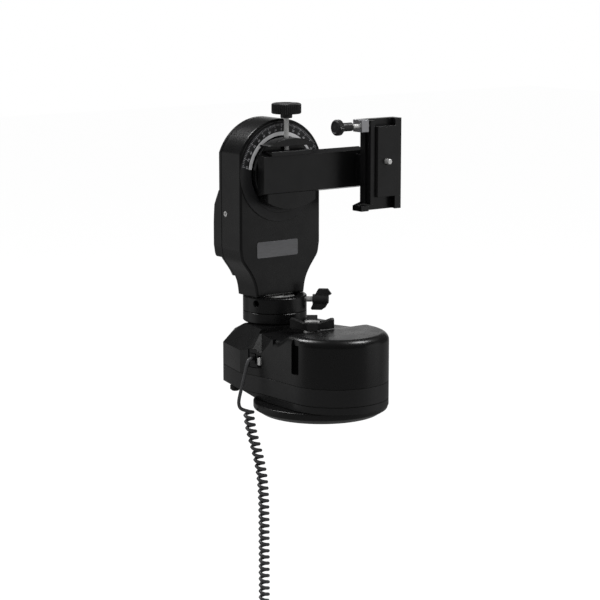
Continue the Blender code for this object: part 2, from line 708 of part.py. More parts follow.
def base_casing():
    """The upper casing: one shell with the drum, the hipped roof, the valley and the port's holes."""
    box = loft(box_rings(0.0, SEAM_HIGH_Z, 0.0))
    cut(box, valley_tool(0.0, 0.0))
    cut(box, back_tool(0.0))
    shell = join(drum(0.0, SEAM_HIGH_Z, 0.0, DRUM_STEPS, 4), box)
    box = loft(box_rings(WALL, SEAM_HIGH_Z - 5.0, WALL))
    cut(box, valley_tool(WALL, WALL))
    cut(box, back_tool(WALL))
    room = join(drum(WALL, SEAM_HIGH_Z - 5.0, WALL, 6, 1), box)
    cut(shell, room)
    boss = rod(BOSS_RADIUS, PEDESTAL_Z - 2.0 * WALL, PEDESTAL_Z, 24)
    join(shell, shift(boss, 0.0, COLLAR_Y, 0.0))
    for sign in (-1.0, 1.0):
        low = (sign * DRUM_RADIUS - 3.0, GROOVE_Y - GROOVE_WIDTH / 2.0, GROOVE_FLOOR_Z)
        high = (sign * DRUM_RADIUS + 3.0, GROOVE_Y + GROOVE_WIDTH / 2.0, DECK_Z + 5.0)
        groove = block(low, high)
        shift(groove, sign * (3.0 - GROOVE_DEPTH), 0.0, 0.0)
        cut(shell, groove)
    cut(shell, shift(rod(LOCK_STUD_RADIUS + GAP, VALLEY_Z - 10.0, VALLEY_Z + 5.0), 0.0, LOCK_Y, 0.0))
    cut(shell, shift(rod(POST_BORE_RADIUS, PEDESTAL_Z - 10.0, PEDESTAL_Z + 5.0), 0.0, COLLAR_Y, 0.0))
    half = SOCKET_WIDTH / 2.0 + GAP
    tall = SOCKET_HEIGHT / 2.0 + GAP
    cut(shell, move(block((-half, -12.0, -tall), (half, 12.0, tall)), side_frame(PORT_Y, PORT_Z)))
    half = SWITCH_WIDTH / 2.0 + GAP
    tall = SWITCH_HEIGHT / 2.0 + GAP
    cut(shell, move(block((-half, -12.0, -tall), (half, 12.0, tall)), side_frame(SWITCH_Y, SWITCH_Z)))
    finish(shell, "base_upper_casing", BLACK_SATIN)


def port():
    """The handset socket with the cord's near plug in it, and the power switch."""
    frame = side_frame(PORT_Y, PORT_Z)
    half = SOCKET_WIDTH / 2.0
    tall = SOCKET_HEIGHT / 2.0
    back = -SOCKET_DEPTH
    socket = block((-half, back, -tall), (half, -1.0, tall))
    rim_back = -WALL - GAP - 2.5
    join(socket, block((-half, rim_back, -tall - 2.0), (half + 2.0, -WALL - GAP, tall - RIM_DROP)))
    slot = PLUG_WIDTH / 2.0 + PLUG_PLAY
    rise = PLUG_HEIGHT / 2.0 + PLUG_PLAY
    cut(socket, block((-slot, -PLUG_DEPTH - 1.0 - PLUG_PLAY, -rise), (slot, 2.0, rise)))
    finish(move(socket, frame), "handset_socket", BLACK_PLASTIC)

    half = PLUG_WIDTH / 2.0
    tall = PLUG_HEIGHT / 2.0
    plug = block((-half, -PLUG_DEPTH - 1.0, -tall), (half, 0.0, tall))
    boot = rod(0.75 * CORD_DIAMETER, -1.0, 1.6, 20)
    join(plug, move(boot, Matrix.Rotation(math.radians(-90.0), 4, "X")))
    finish(move(plug, frame), "cord_near_plug", BLACK_PLASTIC)

    frame = side_frame(SWITCH_Y, SWITCH_Z)
    half = SWITCH_WIDTH / 2.0
    tall = SWITCH_HEIGHT / 2.0
    body = block((-half, -SWITCH_DEPTH, -tall), (half, -0.6, tall))
    rim_back = -WALL - GAP - 2.0
    join(body, block((-half - 1.0, rim_back, -tall - 2.0), (half, -WALL - GAP, tall - RIM_DROP)))
    slot = SLIDER_WIDTH / 2.0 + GAP
    rise = SLIDER_HEIGHT / 2.0 + SLIDER_TRAVEL + GAP
    cut(body, block((-slot, -4.0, -rise), (slot, 3.0, rise)))
    finish(move(body, frame), "power_switch_body", BLACK_PLASTIC)
    half = SLIDER_WIDTH / 2.0
    tall = SLIDER_HEIGHT / 2.0
    slider = block((-half, -3.7, -tall), (half, 1.4, tall))
    finish(move(slider, frame), "power_switch_slider", STEEL, frame.translation)


def motor_drive(prefix, wheel_radius, crest_angle, place, motor_place, seat):
    """A worm in its bracket, with a gearbox and a motor; seat is the way and the distance to the wall."""
    y, z = place
    motor_y, motor_z = motor_place
    pitch = math.tau * wheel_radius / WHEEL_TEETH
    half = WORM_TURNS * pitch / 2.0
    thread = shift(worm(wheel_radius, crest_angle), 0.0, y, z)
    finish(thread, prefix + "_worm", STEEL, (0.0, y, z))

    inner = half + 1.5
    outer = inner + BRACKET_WALL
    turn, distance = seat
    frame = Matrix.Translation((0.0, y, z)) @ Matrix.Rotation(math.radians(turn), 4, "X")
    bracket = block((-outer, distance - BRACKET_WALL, -BRACKET_HALF), (outer, distance, BRACKET_HALF))
    join(bracket, block((-outer, -BRACKET_HALF, -BRACKET_HALF), (-inner, distance, BRACKET_HALF)))
    join(bracket, block((inner, -BRACKET_HALF, -BRACKET_HALF), (outer, distance, BRACKET_HALF)))
    bore = rod(WORM_SHAFT_RADIUS + GAP, -outer - 5.0, outer + 5.0)
    cut(bracket, move(bore, Matrix.Rotation(math.radians(90.0), 4, "Y")))
    finish(move(bracket, frame), prefix + "_worm_bracket", ALUMINIUM)

    near = outer + GAP
    reach = math.hypot(motor_y - y, motor_z - z) + 10.0
    frame = Matrix.Translation((0.0, y, z)) @ Matrix.Rotation(math.atan2(motor_z - z, motor_y - y), 4, "X")
    gearbox = block((near, -GEARBOX_MARGIN, -9.0), (near + GEARBOX_LENGTH, reach, 9.0))
    socket = rod(WORM_SHAFT_RADIUS + GAP, near - 5.0, half + WORM_STUB + GAP)
    cut(gearbox, move(socket, Matrix.Rotation(math.radians(90.0), 4, "Y")))
    finish(move(gearbox, frame), prefix + "_gearbox", MOTOR_GREY)

    end = near - GAP
    can = turned([
        (0.0, end - MOTOR_LENGTH - 2.0), (5.0, end - MOTOR_LENGTH - 2.0), (5.0, end - MOTOR_LENGTH),
        (MOTOR_RADIUS, end - MOTOR_LENGTH), (MOTOR_RADIUS, end), (0.0, end),
    ])
    finish(along_x(can, motor_y, motor_z), prefix + "_motor", MOTOR_GREY)


def control_board():
    board_low = SEAM_LOW_Z + WALL + GAP
    low = (-BOARD_LENGTH / 2.0, BOARD_FRONT_Y, board_low)
    high = (BOARD_LENGTH / 2.0, BOARD_FRONT_Y + BOARD_WIDTH, board_low + BOARD_THICKNESS)
    finish(block(low, high), "control_board", BOARD_GREEN)


def winged_knob(hub, wing, angles, thickness):
    """A turned hub with wings: each wing is an outline of (radius, height) points with some thickness."""
    knob = turned(hub)
    for degrees in angles:
        join(knob, blade(wing, degrees, thickness))
    return knob


def blade(outline, degrees, thickness):
    rings = [[(r, side * thickness / 2.0, h) for r, h in outline] for side in (-1.0, 1.0)]
    return move(loft(rings), Matrix.Rotation(math.radians(degrees), 4, "Z"))


def azimuth_lock():
    """The pad, the stud and the four-winged knob that locks the base."""
    pivot = (0.0, LOCK_Y, 0.0)
    pad_top = LOCK_PAD_Z + LOCK_PAD_HEIGHT
    pad = shift(rod(LOCK_PAD_RADIUS, LOCK_PAD_Z, pad_top), *pivot)
    finish(pad, "azimuth_lock_pad", BRASS, pivot)
    seat = VALLEY_Z + GAP
    washer = seat + LOCK_WASHER_HEIGHT
    hub_low = washer + GAP
    hub_top = hub_low + LOCK_HUB_HEIGHT
    cap = hub_top + GAP
    stud = turned([
        (0.0, pad_top + GAP), (LOCK_STUD_RADIUS, pad_top + GAP), (LOCK_STUD_RADIUS, seat),
        (LOCK_WASHER_RADIUS, seat), (LOCK_WASHER_RADIUS, washer), (LOCK_STUD_RADIUS, washer),
        (LOCK_STUD_RADIUS, cap), (LOCK_CAP_RADIUS, cap), (LOCK_CAP_RADIUS, cap + 1.4), (0.0, cap + 1.4),
    ])
    finish(shift(stud, *pivot), "azimuth_lock_stud", STEEL, pivot)
    bore = LOCK_STUD_RADIUS + GAP
    hub = [(bore, hub_low), (LOCK_HUB_RADIUS, hub_low), (LOCK_HUB_RADIUS, hub_top), (bore, hub_top)]
    tip = LOCK_WING_RADIUS
    top = hub_low + LOCK_WING_HEIGHT
    near = bore + 1.5
    wing = [
        (near, hub_low + 0.5), (tip - 1.0, hub_low + 2.0), (tip, hub_low + 2.8), (tip, top - 0.8),
        (tip - 1.0, top), (tip - 3.4, top), (LOCK_CAP_RADIUS + 0.8, hub_top), (near, hub_top),
    ]
    knob = winged_knob(hub, wing, LOCK_WING_ANGLES, LOCK_WING_THICKNESS)
    cut(knob, rod(bore, hub_low - 5.0, hub_top + 5.0))
    finish(shift(knob, *pivot), "azimuth_lock_knob", BLACK_PLASTIC, pivot)


def collar():
    """The collar's fixed and turning rings, and the post, bush and cap inside them."""
    place = (0.0, COLLAR_Y, 0.0)
    foot = PEDESTAL_Z + GAP
    bore = POST_FLANGE_RADIUS + GAP
    base = ring(bore, COLLAR_RADIUS, foot, COLLAR_SEAM_Z - GAP, FINE_STEPS)
    finish(shift(base, *place), "collar_base", BLACK_SATIN)
    step = COLLAR_SEAM_Z + 8.0
    top = COLLAR_TOP_Z - 1.0
    post = turned([
        (POST_BORE_RADIUS, foot), (POST_FLANGE_RADIUS, foot), (POST_FLANGE_RADIUS, foot + POST_FLANGE_HEIGHT),
        (POST_RADIUS, foot + POST_FLANGE_HEIGHT), (POST_RADIUS, step), (POST_NECK_RADIUS, step),
        (POST_NECK_RADIUS, top), (POST_BORE_RADIUS, top),
    ])
    finish(shift(post, *place), "swivel_post", STEEL)
    bush_outer = POST_RADIUS + GAP + BUSH_WALL
    bush = ring(POST_RADIUS + GAP, bush_outer, COLLAR_SEAM_Z + GAP, step - GAP)
    finish(shift(bush, *place), "swivel_bush", BRASS, place)
    cap = ring(POST_NECK_RADIUS + GAP, CAP_RADIUS, step + GAP, step + GAP + CAP_HEIGHT)
    finish(shift(cap, *place), "swivel_cap", STEEL)

    room = CAP_RADIUS + GAP + ARM_PAD_LENGTH + GAP
    arm_collar = turned([
        (bush_outer + GAP, COLLAR_SEAM_Z), (COLLAR_RADIUS, COLLAR_SEAM_Z),
        (COLLAR_RADIUS, COLLAR_TOP_Z - COLLAR_EDGE), (COLLAR_RADIUS - COLLAR_EDGE, COLLAR_TOP_Z),
        (room, COLLAR_TOP_Z), (room, step), (bush_outer + GAP, step),
    ], FINE_STEPS)
    bolt_bore = rod(ARM_LOCK_RADIUS + GAP, 0.0, COLLAR_RADIUS + 5.0)
    cut(arm_collar, move(bolt_bore, radial_frame(ARM_LOCK_ANGLE, ARM_LOCK_Z, False)))
    hole = turned([
        (0.0, room + 2.5), (SET_HOLE_RADIUS, room + 2.5), (SET_HOLE_RADIUS, COLLAR_RADIUS - 1.6),
        (SET_HOLE_RIM_RADIUS, COLLAR_RADIUS + 0.2), (SET_HOLE_RIM_RADIUS, COLLAR_RADIUS + 3.0),
        (0.0, COLLAR_RADIUS + 3.0),
    ], 20)
    cut(arm_collar, move(hole, radial_frame(SET_HOLE_ANGLE, ARM_LOCK_Z - 1.0, False)))
    finish(shift(arm_collar, *place), "arm_collar", BLACK_SATIN, place)


def radial_frame(degrees, z, at_collar=True):
    """A frame whose Z points out of the collar at an angle, with Y up."""
    out = Vector((math.cos(math.radians(degrees)), math.sin(math.radians(degrees)), 0.0))
    up = Vector((0.0, 0.0, 1.0))
    frame = Matrix((up.cross(out), up, out)).transposed().to_4x4()
    frame.translation = Vector((0.0, COLLAR_Y if at_collar else 0.0, z))
    return frame


def arm_lock():
    """The wing bolt in the turning collar, with its pad."""
    frame = radial_frame(ARM_LOCK_ANGLE, ARM_LOCK_Z)
    pivot = frame.translation
    pad_start = CAP_RADIUS + GAP
    pad = rod(ARM_LOCK_RADIUS - 0.4, pad_start, pad_start + ARM_PAD_LENGTH, 20)
    finish(move(pad, frame), "arm_lock_pad", BRASS, pivot)
    head_end = ARM_LOCK_HEAD_START + ARM_LOCK_HEAD_LENGTH
    bolt = rod(ARM_LOCK_RADIUS, pad_start + ARM_PAD_LENGTH + GAP, head_end - 4.0)
    finish(move(bolt, frame), "arm_lock_bolt", STEEL, pivot)
    bore = ARM_LOCK_RADIUS + GAP
    start = ARM_LOCK_HEAD_START
    end = head_end - 4.0 + GAP
    hub = [
        (0.0, end), (bore, end), (bore, start), (5.4, start), (5.0, head_end - 1.0),
        (4.0, head_end), (0.0, head_end),
    ]
    span = ARM_LOCK_WING_SPAN
    near = bore + 0.6
    outer_wing = [
        (near, start + 2.0), (span - 1.5, start + 5.1), (span, start + 6.5),
        (span, start + 16.0), (span - 5.5, start + 20.0), (near, start + 16.4),
    ]
    inner_wing = [
        (near, start + 0.6), (span - 1.5, start - 2.0), (span, start - 0.8),
        (span, start + 9.6), (span - 3.0, start + 14.0), (near, start + 16.4),
    ]
    head = turned(hub)
    for degrees, wing in ((90.0, outer_wing), (270.0, inner_wing)):
        join(head, blade(wing, degrees, ARM_LOCK_WING_THICKNESS))
    finish(move(head, frame), "arm_lock_wing", BLACK_PLASTIC, pivot)


def arm_outline(foot=COLLAR_TOP_Z + GAP):
    """The arm's face outline in X and Z, counterclockwise, from its foot upward."""
    rise = SHOULDER_Z - COLLAR_TOP_Z
    spread = ARM_HALF_WIDTH - NECK_HALF_WIDTH
    curve = []
    for height, share in SHOULDER_CURVE:
        curve.append((NECK_HALF_WIDTH + spread * share, COLLAR_TOP_Z + GAP + rise * height))
    start = float(np.interp(foot, [z for x, z in curve], [x for x, z in curve]))
    side = [(start, foot)] + [(x, z) for x, z in curve if z > foot + WALL]
    corner = math.degrees(math.acos(ARM_HALF_WIDTH / HEAD_RADIUS))
    head = arc((0.0, ALTITUDE_Z), HEAD_RADIUS, corner, 90.0, 11)
    half = side + head[:-1]
    return half + [(0.0, ALTITUDE_Z + HEAD_RADIUS)] + [(-x, z) for x, z in reversed(half)]


def arm_shell():
    """The arm's front shell, open at the back, with the front bearing's boss."""
    outline = arm_outline()
    shell = loft([
        upright(inset(outline, ARM_EDGE), ARM_FACE_Y),
        upright(inset(outline, 0.3 * ARM_EDGE), ARM_FACE_Y + 0.3 * ARM_EDGE),
        upright(outline, ARM_FACE_Y + ARM_EDGE),
        upright(outline, ARM_SEAM_Y),
    ])
    face = ARM_FACE_Y + WALL
    room = arm_outline(COVER_FOOT_Z + WALL)
    cut(shell, slab(inset(room, WALL), face, ARM_SEAM_Y + 5.0))
    neck = [(x, z) for x, z in inset(outline, WALL) if z < COVER_FOOT_Z + 8.0]
    neck = [(x, max(z, CAVITY_FLOOR_Z)) for x, z in neck]
    cut(shell, slab(neck, face, ARM_SEAM_Y - WALL))
    boss_end = face + ALTITUDE_BEARING_WIDTH + 1.0
    boss = ALTITUDE_BEARING_RADIUS + GAP
    join(shell, along_y(rod(boss + BEARING_BOSS_WALL, face - 1.0, boss_end), 0.0, ALTITUDE_Z))
    cut(shell, along_y(rod(boss, face, boss_end + 5.0), 0.0, ALTITUDE_Z))
    cut(shell, along_y(rod(SHAFT_RADIUS + GAP, ARM_FACE_Y - 5.0, boss_end), 0.0, ALTITUDE_Z))
    cut(shell, shift(rod(POST_BORE_RADIUS, COLLAR_TOP_Z - 2.0, CAVITY_FLOOR_Z + 4.0), 0.0, COLLAR_Y, 0.0))
    for sign in (-1.0, 1.0):
        cut(shell, cover_screw_shape(sign, GAP, 4.0))
    finish(shell, "arm_front_shell", BLACK_SATIN, (0.0, COLLAR_Y, 0.0))


def cover_screw_shape(sign, growth, proud):
    """A countersunk screw in the arm's side; the hole is the same shape, a gap larger."""
    start = ARM_HALF_WIDTH - WALL - 2.0 - growth
    head = ARM_HALF_WIDTH - 1.2 - growth
    end = ARM_HALF_WIDTH + proud
    radius = COVER_SCREW_RADIUS + growth
    screw = turned([
        (0.0, start), (0.55 * radius, start), (0.55 * radius, head - 1.0), (radius, head),
        (radius, end), (0.0, end),
    ], 12)
    turn = Matrix.Rotation(math.radians(90.0 * sign), 4, "Y")
    return shift(move(screw, turn), 0.0, ARM_SEAM_Y - 6.0, COVER_SCREW_Z)


def arm_cover():
    """The rear cover with its bulge over the motor and the rear bearing's boss."""
    outline = arm_outline(COVER_FOOT_Z)
    front = ARM_SEAM_Y + GAP
    cover = loft([
        upright(outline, front),
        upright(outline, ARM_BACK_Y - ARM_EDGE),
        upright(inset(outline, 0.3 * ARM_EDGE), ARM_BACK_Y - 0.3 * ARM_EDGE),
        upright(inset(outline, ARM_EDGE), ARM_BACK_Y),
    ])
    join(cover, bulge(0.0, front + 1.0))
    cut(cover, slab(inset(outline, WALL), front - 5.0, ARM_BACK_Y - WALL))
    cut(cover, bulge(WALL, front - 4.0))
    boss = ALTITUDE_BEARING_RADIUS + GAP
    boss_low = SHAFT_BACK_Y - ALTITUDE_BEARING_WIDTH - 1.0
    join(cover, along_y(rod(boss + BEARING_BOSS_WALL, boss_low, ARM_BACK_Y - 1.0), 0.0, ALTITUDE_Z))
    cut(cover, along_y(rod(boss, boss_low - 5.0, SHAFT_BACK_Y + 1.0), 0.0, ALTITUDE_Z))
    finish(cover, "arm_rear_cover", BLACK_SATIN, (0.0, COLLAR_Y, 0.0))
    for name, sign in (("left", -1.0), ("right", 1.0)):
        finish(cover_screw_shape(sign, 0.0, -0.4), "arm_cover_screw_" + name, STEEL, (0.0, COLLAR_Y, 0.0))


def bulge(distance, front):
    """The thick part at the back of the cover; the room inside it is the same shape, smaller."""
    side = [(x, z) for x, z in arm_outline(BULGE_FOOT_Z) if 0.0 < x and z < BULGE_CREST_Z]

    def section(top, edge):
        right = side + [(ARM_HALF_WIDTH, top)]
        outline = right + [(-x, z) for x, z in reversed(right)]
        return inset(outline, distance + edge)

    middle = (ARM_BACK_Y + BULGE_BACK_Y) / 2.0
    crest_top = (BULGE_TOP_Z + BULGE_CREST_Z) / 2.0
    return loft([
        upright(section(BULGE_TOP_Z, 0.0), front),
        upright(section(BULGE_TOP_Z - 2.0, 0.0), ARM_BACK_Y - distance),
        upright(section(crest_top, 0.0), middle + 2.0 - distance),
        upright(section(BULGE_CREST_Z, 0.8), BULGE_BACK_Y - 2.0 - distance),
        upright(section(BULGE_CREST_Z - 4.0, 4.0), BULGE_BACK_Y - distance),
    ])


def setting_circle():
    circle = ring(CIRCLE_INNER_RADIUS, CIRCLE_OUTER_RADIUS, -CIRCLE_THICKNESS - GAP, -GAP, 44)
    finish(along_y(shift(circle, 0.0, 0.0, ARM_FACE_Y), 0.0, ALTITUDE_Z), "setting_circle", BLACK_SATIN)


def altitude_axis():
    """The shaft, its bearings and the worm wheel."""
    pivot = (0.0, 0.0, ALTITUDE_Z)
    wheel_back = ALTITUDE_WHEEL_Y + ALTITUDE_WHEEL_WIDTH
    collar_low = ALTITUDE_WHEEL_Y - GAP - SHAFT_COLLAR_WIDTH
    shaft = turned([
        (0.0, SHAFT_FRONT_Y), (SHAFT_RADIUS, SHAFT_FRONT_Y), (SHAFT_RADIUS, collar_low),
        (SHAFT_COLLAR_RADIUS, collar_low), (SHAFT_COLLAR_RADIUS, ALTITUDE_WHEEL_Y - GAP),
        (SHAFT_RADIUS, ALTITUDE_WHEEL_Y - GAP), (SHAFT_RADIUS, SHAFT_BACK_Y), (0.0, SHAFT_BACK_Y),
    ])
    finish(along_y(shaft, 0.0, ALTITUDE_Z), "altitude_shaft", STEEL, pivot)
    wheel = worm_wheel(ALTITUDE_WHEEL_RADIUS, SHAFT_RADIUS + GAP, ALTITUDE_WHEEL_Y, wheel_back, 90.0)
    finish(along_y(wheel, 0.0, ALTITUDE_Z), "altitude_worm_wheel", BRASS, pivot)
    for name, low in (("front", ARM_FACE_Y + WALL + GAP), ("rear", SHAFT_BACK_Y - ALTITUDE_BEARING_WIDTH)):
        bearing = ring(SHAFT_RADIUS + GAP, ALTITUDE_BEARING_RADIUS, low, low + ALTITUDE_BEARING_WIDTH)
        finish(along_y(bearing, 0.0, ALTITUDE_Z), "altitude_" + name + "_bearing", STEEL)


def bar_half(y):
    """Half height of the dovetail bar at a depth."""
    share = (SADDLE_SEAT_Y - GAP - y) / BAR_THICKNESS
    return BAR_HALF_BACK + share * (BAR_HALF_FRONT - BAR_HALF_BACK)


def saddle():
    """The round saddle with its fixed lower jaw and upper lug, the movable jaw and the clamp knob."""
    pivot = (0.0, 0.0, ALTITUDE_Z)
    half = SADDLE_HALF_LENGTH
    body = along_y(rod(SADDLE_RADIUS, SADDLE_SEAT_Y, SADDLE_BACK_Y, FINE_STEPS), 0.0, ALTITUDE_Z)
    lug_foot = ALTITUDE_Z + LUG_FOOT
    lug_rise = LUG_TOP - LUG_FOOT
    top = [(half * (1.0 - k / 4.0), lug_foot + lug_rise * (1.0 - (1.0 - k / 4.0) ** 2)) for k in range(9)]
    lug_edge = lug_foot + 2.0
    lug = [(-half, lug_foot), (half, lug_foot), (half, lug_edge)] + top[1:-1] + [(-half, lug_edge)]
    join(body, slab(lug, SADDLE_FRONT_Y, SADDLE_SEAT_Y + 2.0))
    low = ALTITUDE_Z - LOWER_JAW_DEPTH
    floor_front = ALTITUDE_Z - bar_half(SADDLE_FRONT_Y) - GAP
    floor_back = ALTITUDE_Z - bar_half(SADDLE_SEAT_Y) - GAP
    foot = [(half * (k / 4.0 - 1.0), low + lug_rise * (1.0 - k / 4.0) ** 2) for k in range(9)]
    jaw_rings = []
    merge = SADDLE_SEAT_Y + 2.0
    for y, floor in ((SADDLE_FRONT_Y, floor_front), (SADDLE_SEAT_Y, floor_back), (merge, floor_back)):
        jaw_rings.append(upright(foot + [(half, floor), (-half, floor)], y))
    join(body, loft(jaw_rings))
    cut(body, along_y(rod(SHAFT_RADIUS + GAP, SHAFT_FRONT_Y - GAP, SADDLE_BACK_Y + 5.0), 0.0, ALTITUDE_Z))
    bore = rod(CLAMP_SCREW_RADIUS + GAP, lug_foot - 5.0, ALTITUDE_Z + LUG_TOP + 5.0)
    cut(body, shift(bore, 0.0, CLAMP_Y, 0.0))
    finish(body, "saddle_body", BLACK_SATIN, pivot)

    jaw_top = ALTITUDE_Z + JAW_TOP
    rings = []
    for y in (SADDLE_FRONT_Y, SADDLE_SEAT_Y - GAP):
        floor = ALTITUDE_Z + bar_half(y) + GAP
        half = JAW_HALF_LENGTH
        rings.append(upright([(-half, floor), (half, floor), (half, jaw_top), (-half, jaw_top)], y))
    finish(loft(rings), "saddle_jaw", BLACK_METAL, (0.0, CLAMP_Y, ALTITUDE_Z))

    place = (0.0, CLAMP_Y, 0.0)
    knob_pivot = (0.0, CLAMP_Y, ALTITUDE_Z)
    screw = rod(CLAMP_SCREW_RADIUS, jaw_top + GAP, CLAMP_HEAD_Z + 4.0)
    finish(shift(screw, *place), "saddle_clamp_screw", STEEL, knob_pivot)
    bore = CLAMP_SCREW_RADIUS + GAP
    socket = CLAMP_HEAD_Z + 4.0 + GAP
    rings = []
    levels = (
        (bore, socket, 0.0), (bore, CLAMP_HUB_Z, 0.0), (CLAMP_HUB_RADIUS, CLAMP_HUB_Z, 0.0),
        (CLAMP_HUB_RADIUS, CLAMP_HEAD_Z, 0.0), (CLAMP_HEAD_RADIUS - 1.0, CLAMP_HEAD_Z, 0.9),
        (CLAMP_HEAD_RADIUS, CLAMP_HEAD_Z + 1.0, 1.0), (CLAMP_HEAD_RADIUS, CLAMP_TOP_Z - 1.5, 1.0),
        (CLAMP_HEAD_RADIUS - 1.5, CLAMP_TOP_Z, 0.8),
    )
    for radius, z, depth in levels:
        steps = 4 * CLAMP_LOBES
        points = []
        for k in range(steps):
            distance = radius - depth * 0.5 * (1.0 - math.cos(math.tau * k / 4.0))
            angle = math.tau * k / steps
            points.append((distance * math.cos(angle), distance * math.sin(angle), z))
        rings.append(points)
    finish(shift(loft(rings), *place), "saddle_clamp_knob", BLACK_PLASTIC, knob_pivot)


def bracket():
    """The dovetail bar, the upright with its shoe channel, the bolt and the clamp block."""
    back = SADDLE_SEAT_Y - GAP
    front = back - BAR_THICKNESS
    rings = []
    for y in (front, back):
        half = bar_half(y)
        rings.append(upright([(BAR_NEAR_X, ALTITUDE_Z - half), (BAR_FAR_X, ALTITUDE_Z - half),
                              (BAR_FAR_X, ALTITUDE_Z + half), (BAR_NEAR_X, ALTITUDE_Z + half)], y))
    bar = loft(rings)
    seat = UPRIGHT_BACK_Y + GAP
    low = ALTITUDE_Z - BOSS_HALF_HEIGHT
    high = ALTITUDE_Z + BOSS_HALF_HEIGHT
    join(bar, block((BOSS_NEAR_X, seat, low), (BOSS_FAR_X, front + BOSS_MERGE, high)))
    channel = UPRIGHT_BACK_Y - UPRIGHT_WALL
    bolt_head = channel + 0.3
    cut(bar, along_y(rod(BOLT_RADIUS + GAP, seat - 5.0, bolt_head + BOLT_LENGTH + 4.0), SHOE_X, ALTITUDE_Z))
    finish(bar, "dovetail_bar", BLACK_METAL)

    tab = UPRIGHT_NEAR_X - UPRIGHT_TAB
    tab_top = UPRIGHT_FOOT_Z + UPRIGHT_TAB_HEIGHT
    outline = [(tab, UPRIGHT_FOOT_Z), (UPRIGHT_FAR_X, UPRIGHT_FOOT_Z), (UPRIGHT_FAR_X, UPRIGHT_TOP_Z),
               (UPRIGHT_NEAR_X, UPRIGHT_TOP_Z), (UPRIGHT_NEAR_X, tab_top + 3.0), (tab, tab_top)]
    plate = slab(outline, channel, UPRIGHT_BACK_Y)
    lip_front = channel - LIP_DEPTH
    inner_back = SHOE_X + SHOE_HALF_BACK + GAP
    inner_front = inner_back - SHOE_SLOPE * LIP_DEPTH
    lip = [(inner_back, channel + 1.0), (inner_back, channel), (inner_front, lip_front),
           (UPRIGHT_FAR_X, lip_front), (UPRIGHT_FAR_X, channel + 1.0)]
    join(plate, prism(lip, UPRIGHT_FOOT_Z, UPRIGHT_TOP_Z))
    tab_front = block((tab, lip_front, UPRIGHT_FOOT_Z), (UPRIGHT_NEAR_X, channel + 1.0, tab_top))
    join(plate, tab_front)
    recess = rod(BOLT_HEAD_RADIUS + GAP, channel - 5.0, bolt_head + BOLT_HEAD_HEIGHT + GAP)
    cut(plate, along_y(recess, SHOE_X, ALTITUDE_Z))
    cut(plate, along_y(rod(BOLT_RADIUS + GAP, channel, UPRIGHT_BACK_Y + 5.0), SHOE_X, ALTITUDE_Z))
    finish(plate, "bracket_upright", BLACK_METAL)

    shoulder = bolt_head + BOLT_HEAD_HEIGHT
    end = bolt_head + BOLT_LENGTH
    bolt = turned([
        (0.0, bolt_head), (BOLT_HEAD_RADIUS, bolt_head), (BOLT_HEAD_RADIUS, shoulder),
        (BOLT_RADIUS, shoulder), (BOLT_RADIUS, end), (0.0, end),
    ])
    finish(along_y(bolt, SHOE_X, ALTITUDE_Z), "bracket_bolt", STEEL)

    block_low = (UPRIGHT_NEAR_X - UPRIGHT_TAB, lip_front, UPRIGHT_TOP_Z - CLAMP_BLOCK_HEIGHT)
    clamp_block = block(block_low, (UPRIGHT_NEAR_X - GAP, UPRIGHT_BACK_Y, UPRIGHT_TOP_Z))
    bore = rod(SHOE_CLAMP_SCREW_RADIUS + GAP, UPRIGHT_NEAR_X - UPRIGHT_TAB - 5.0, UPRIGHT_NEAR_X + 5.0, 20)
    cut(clamp_block, along_x(bore, SHOE_CLAMP_Y, SHOE_CLAMP_Z))
    finish(clamp_block, "shoe_clamp_block", ALUMINIUM)


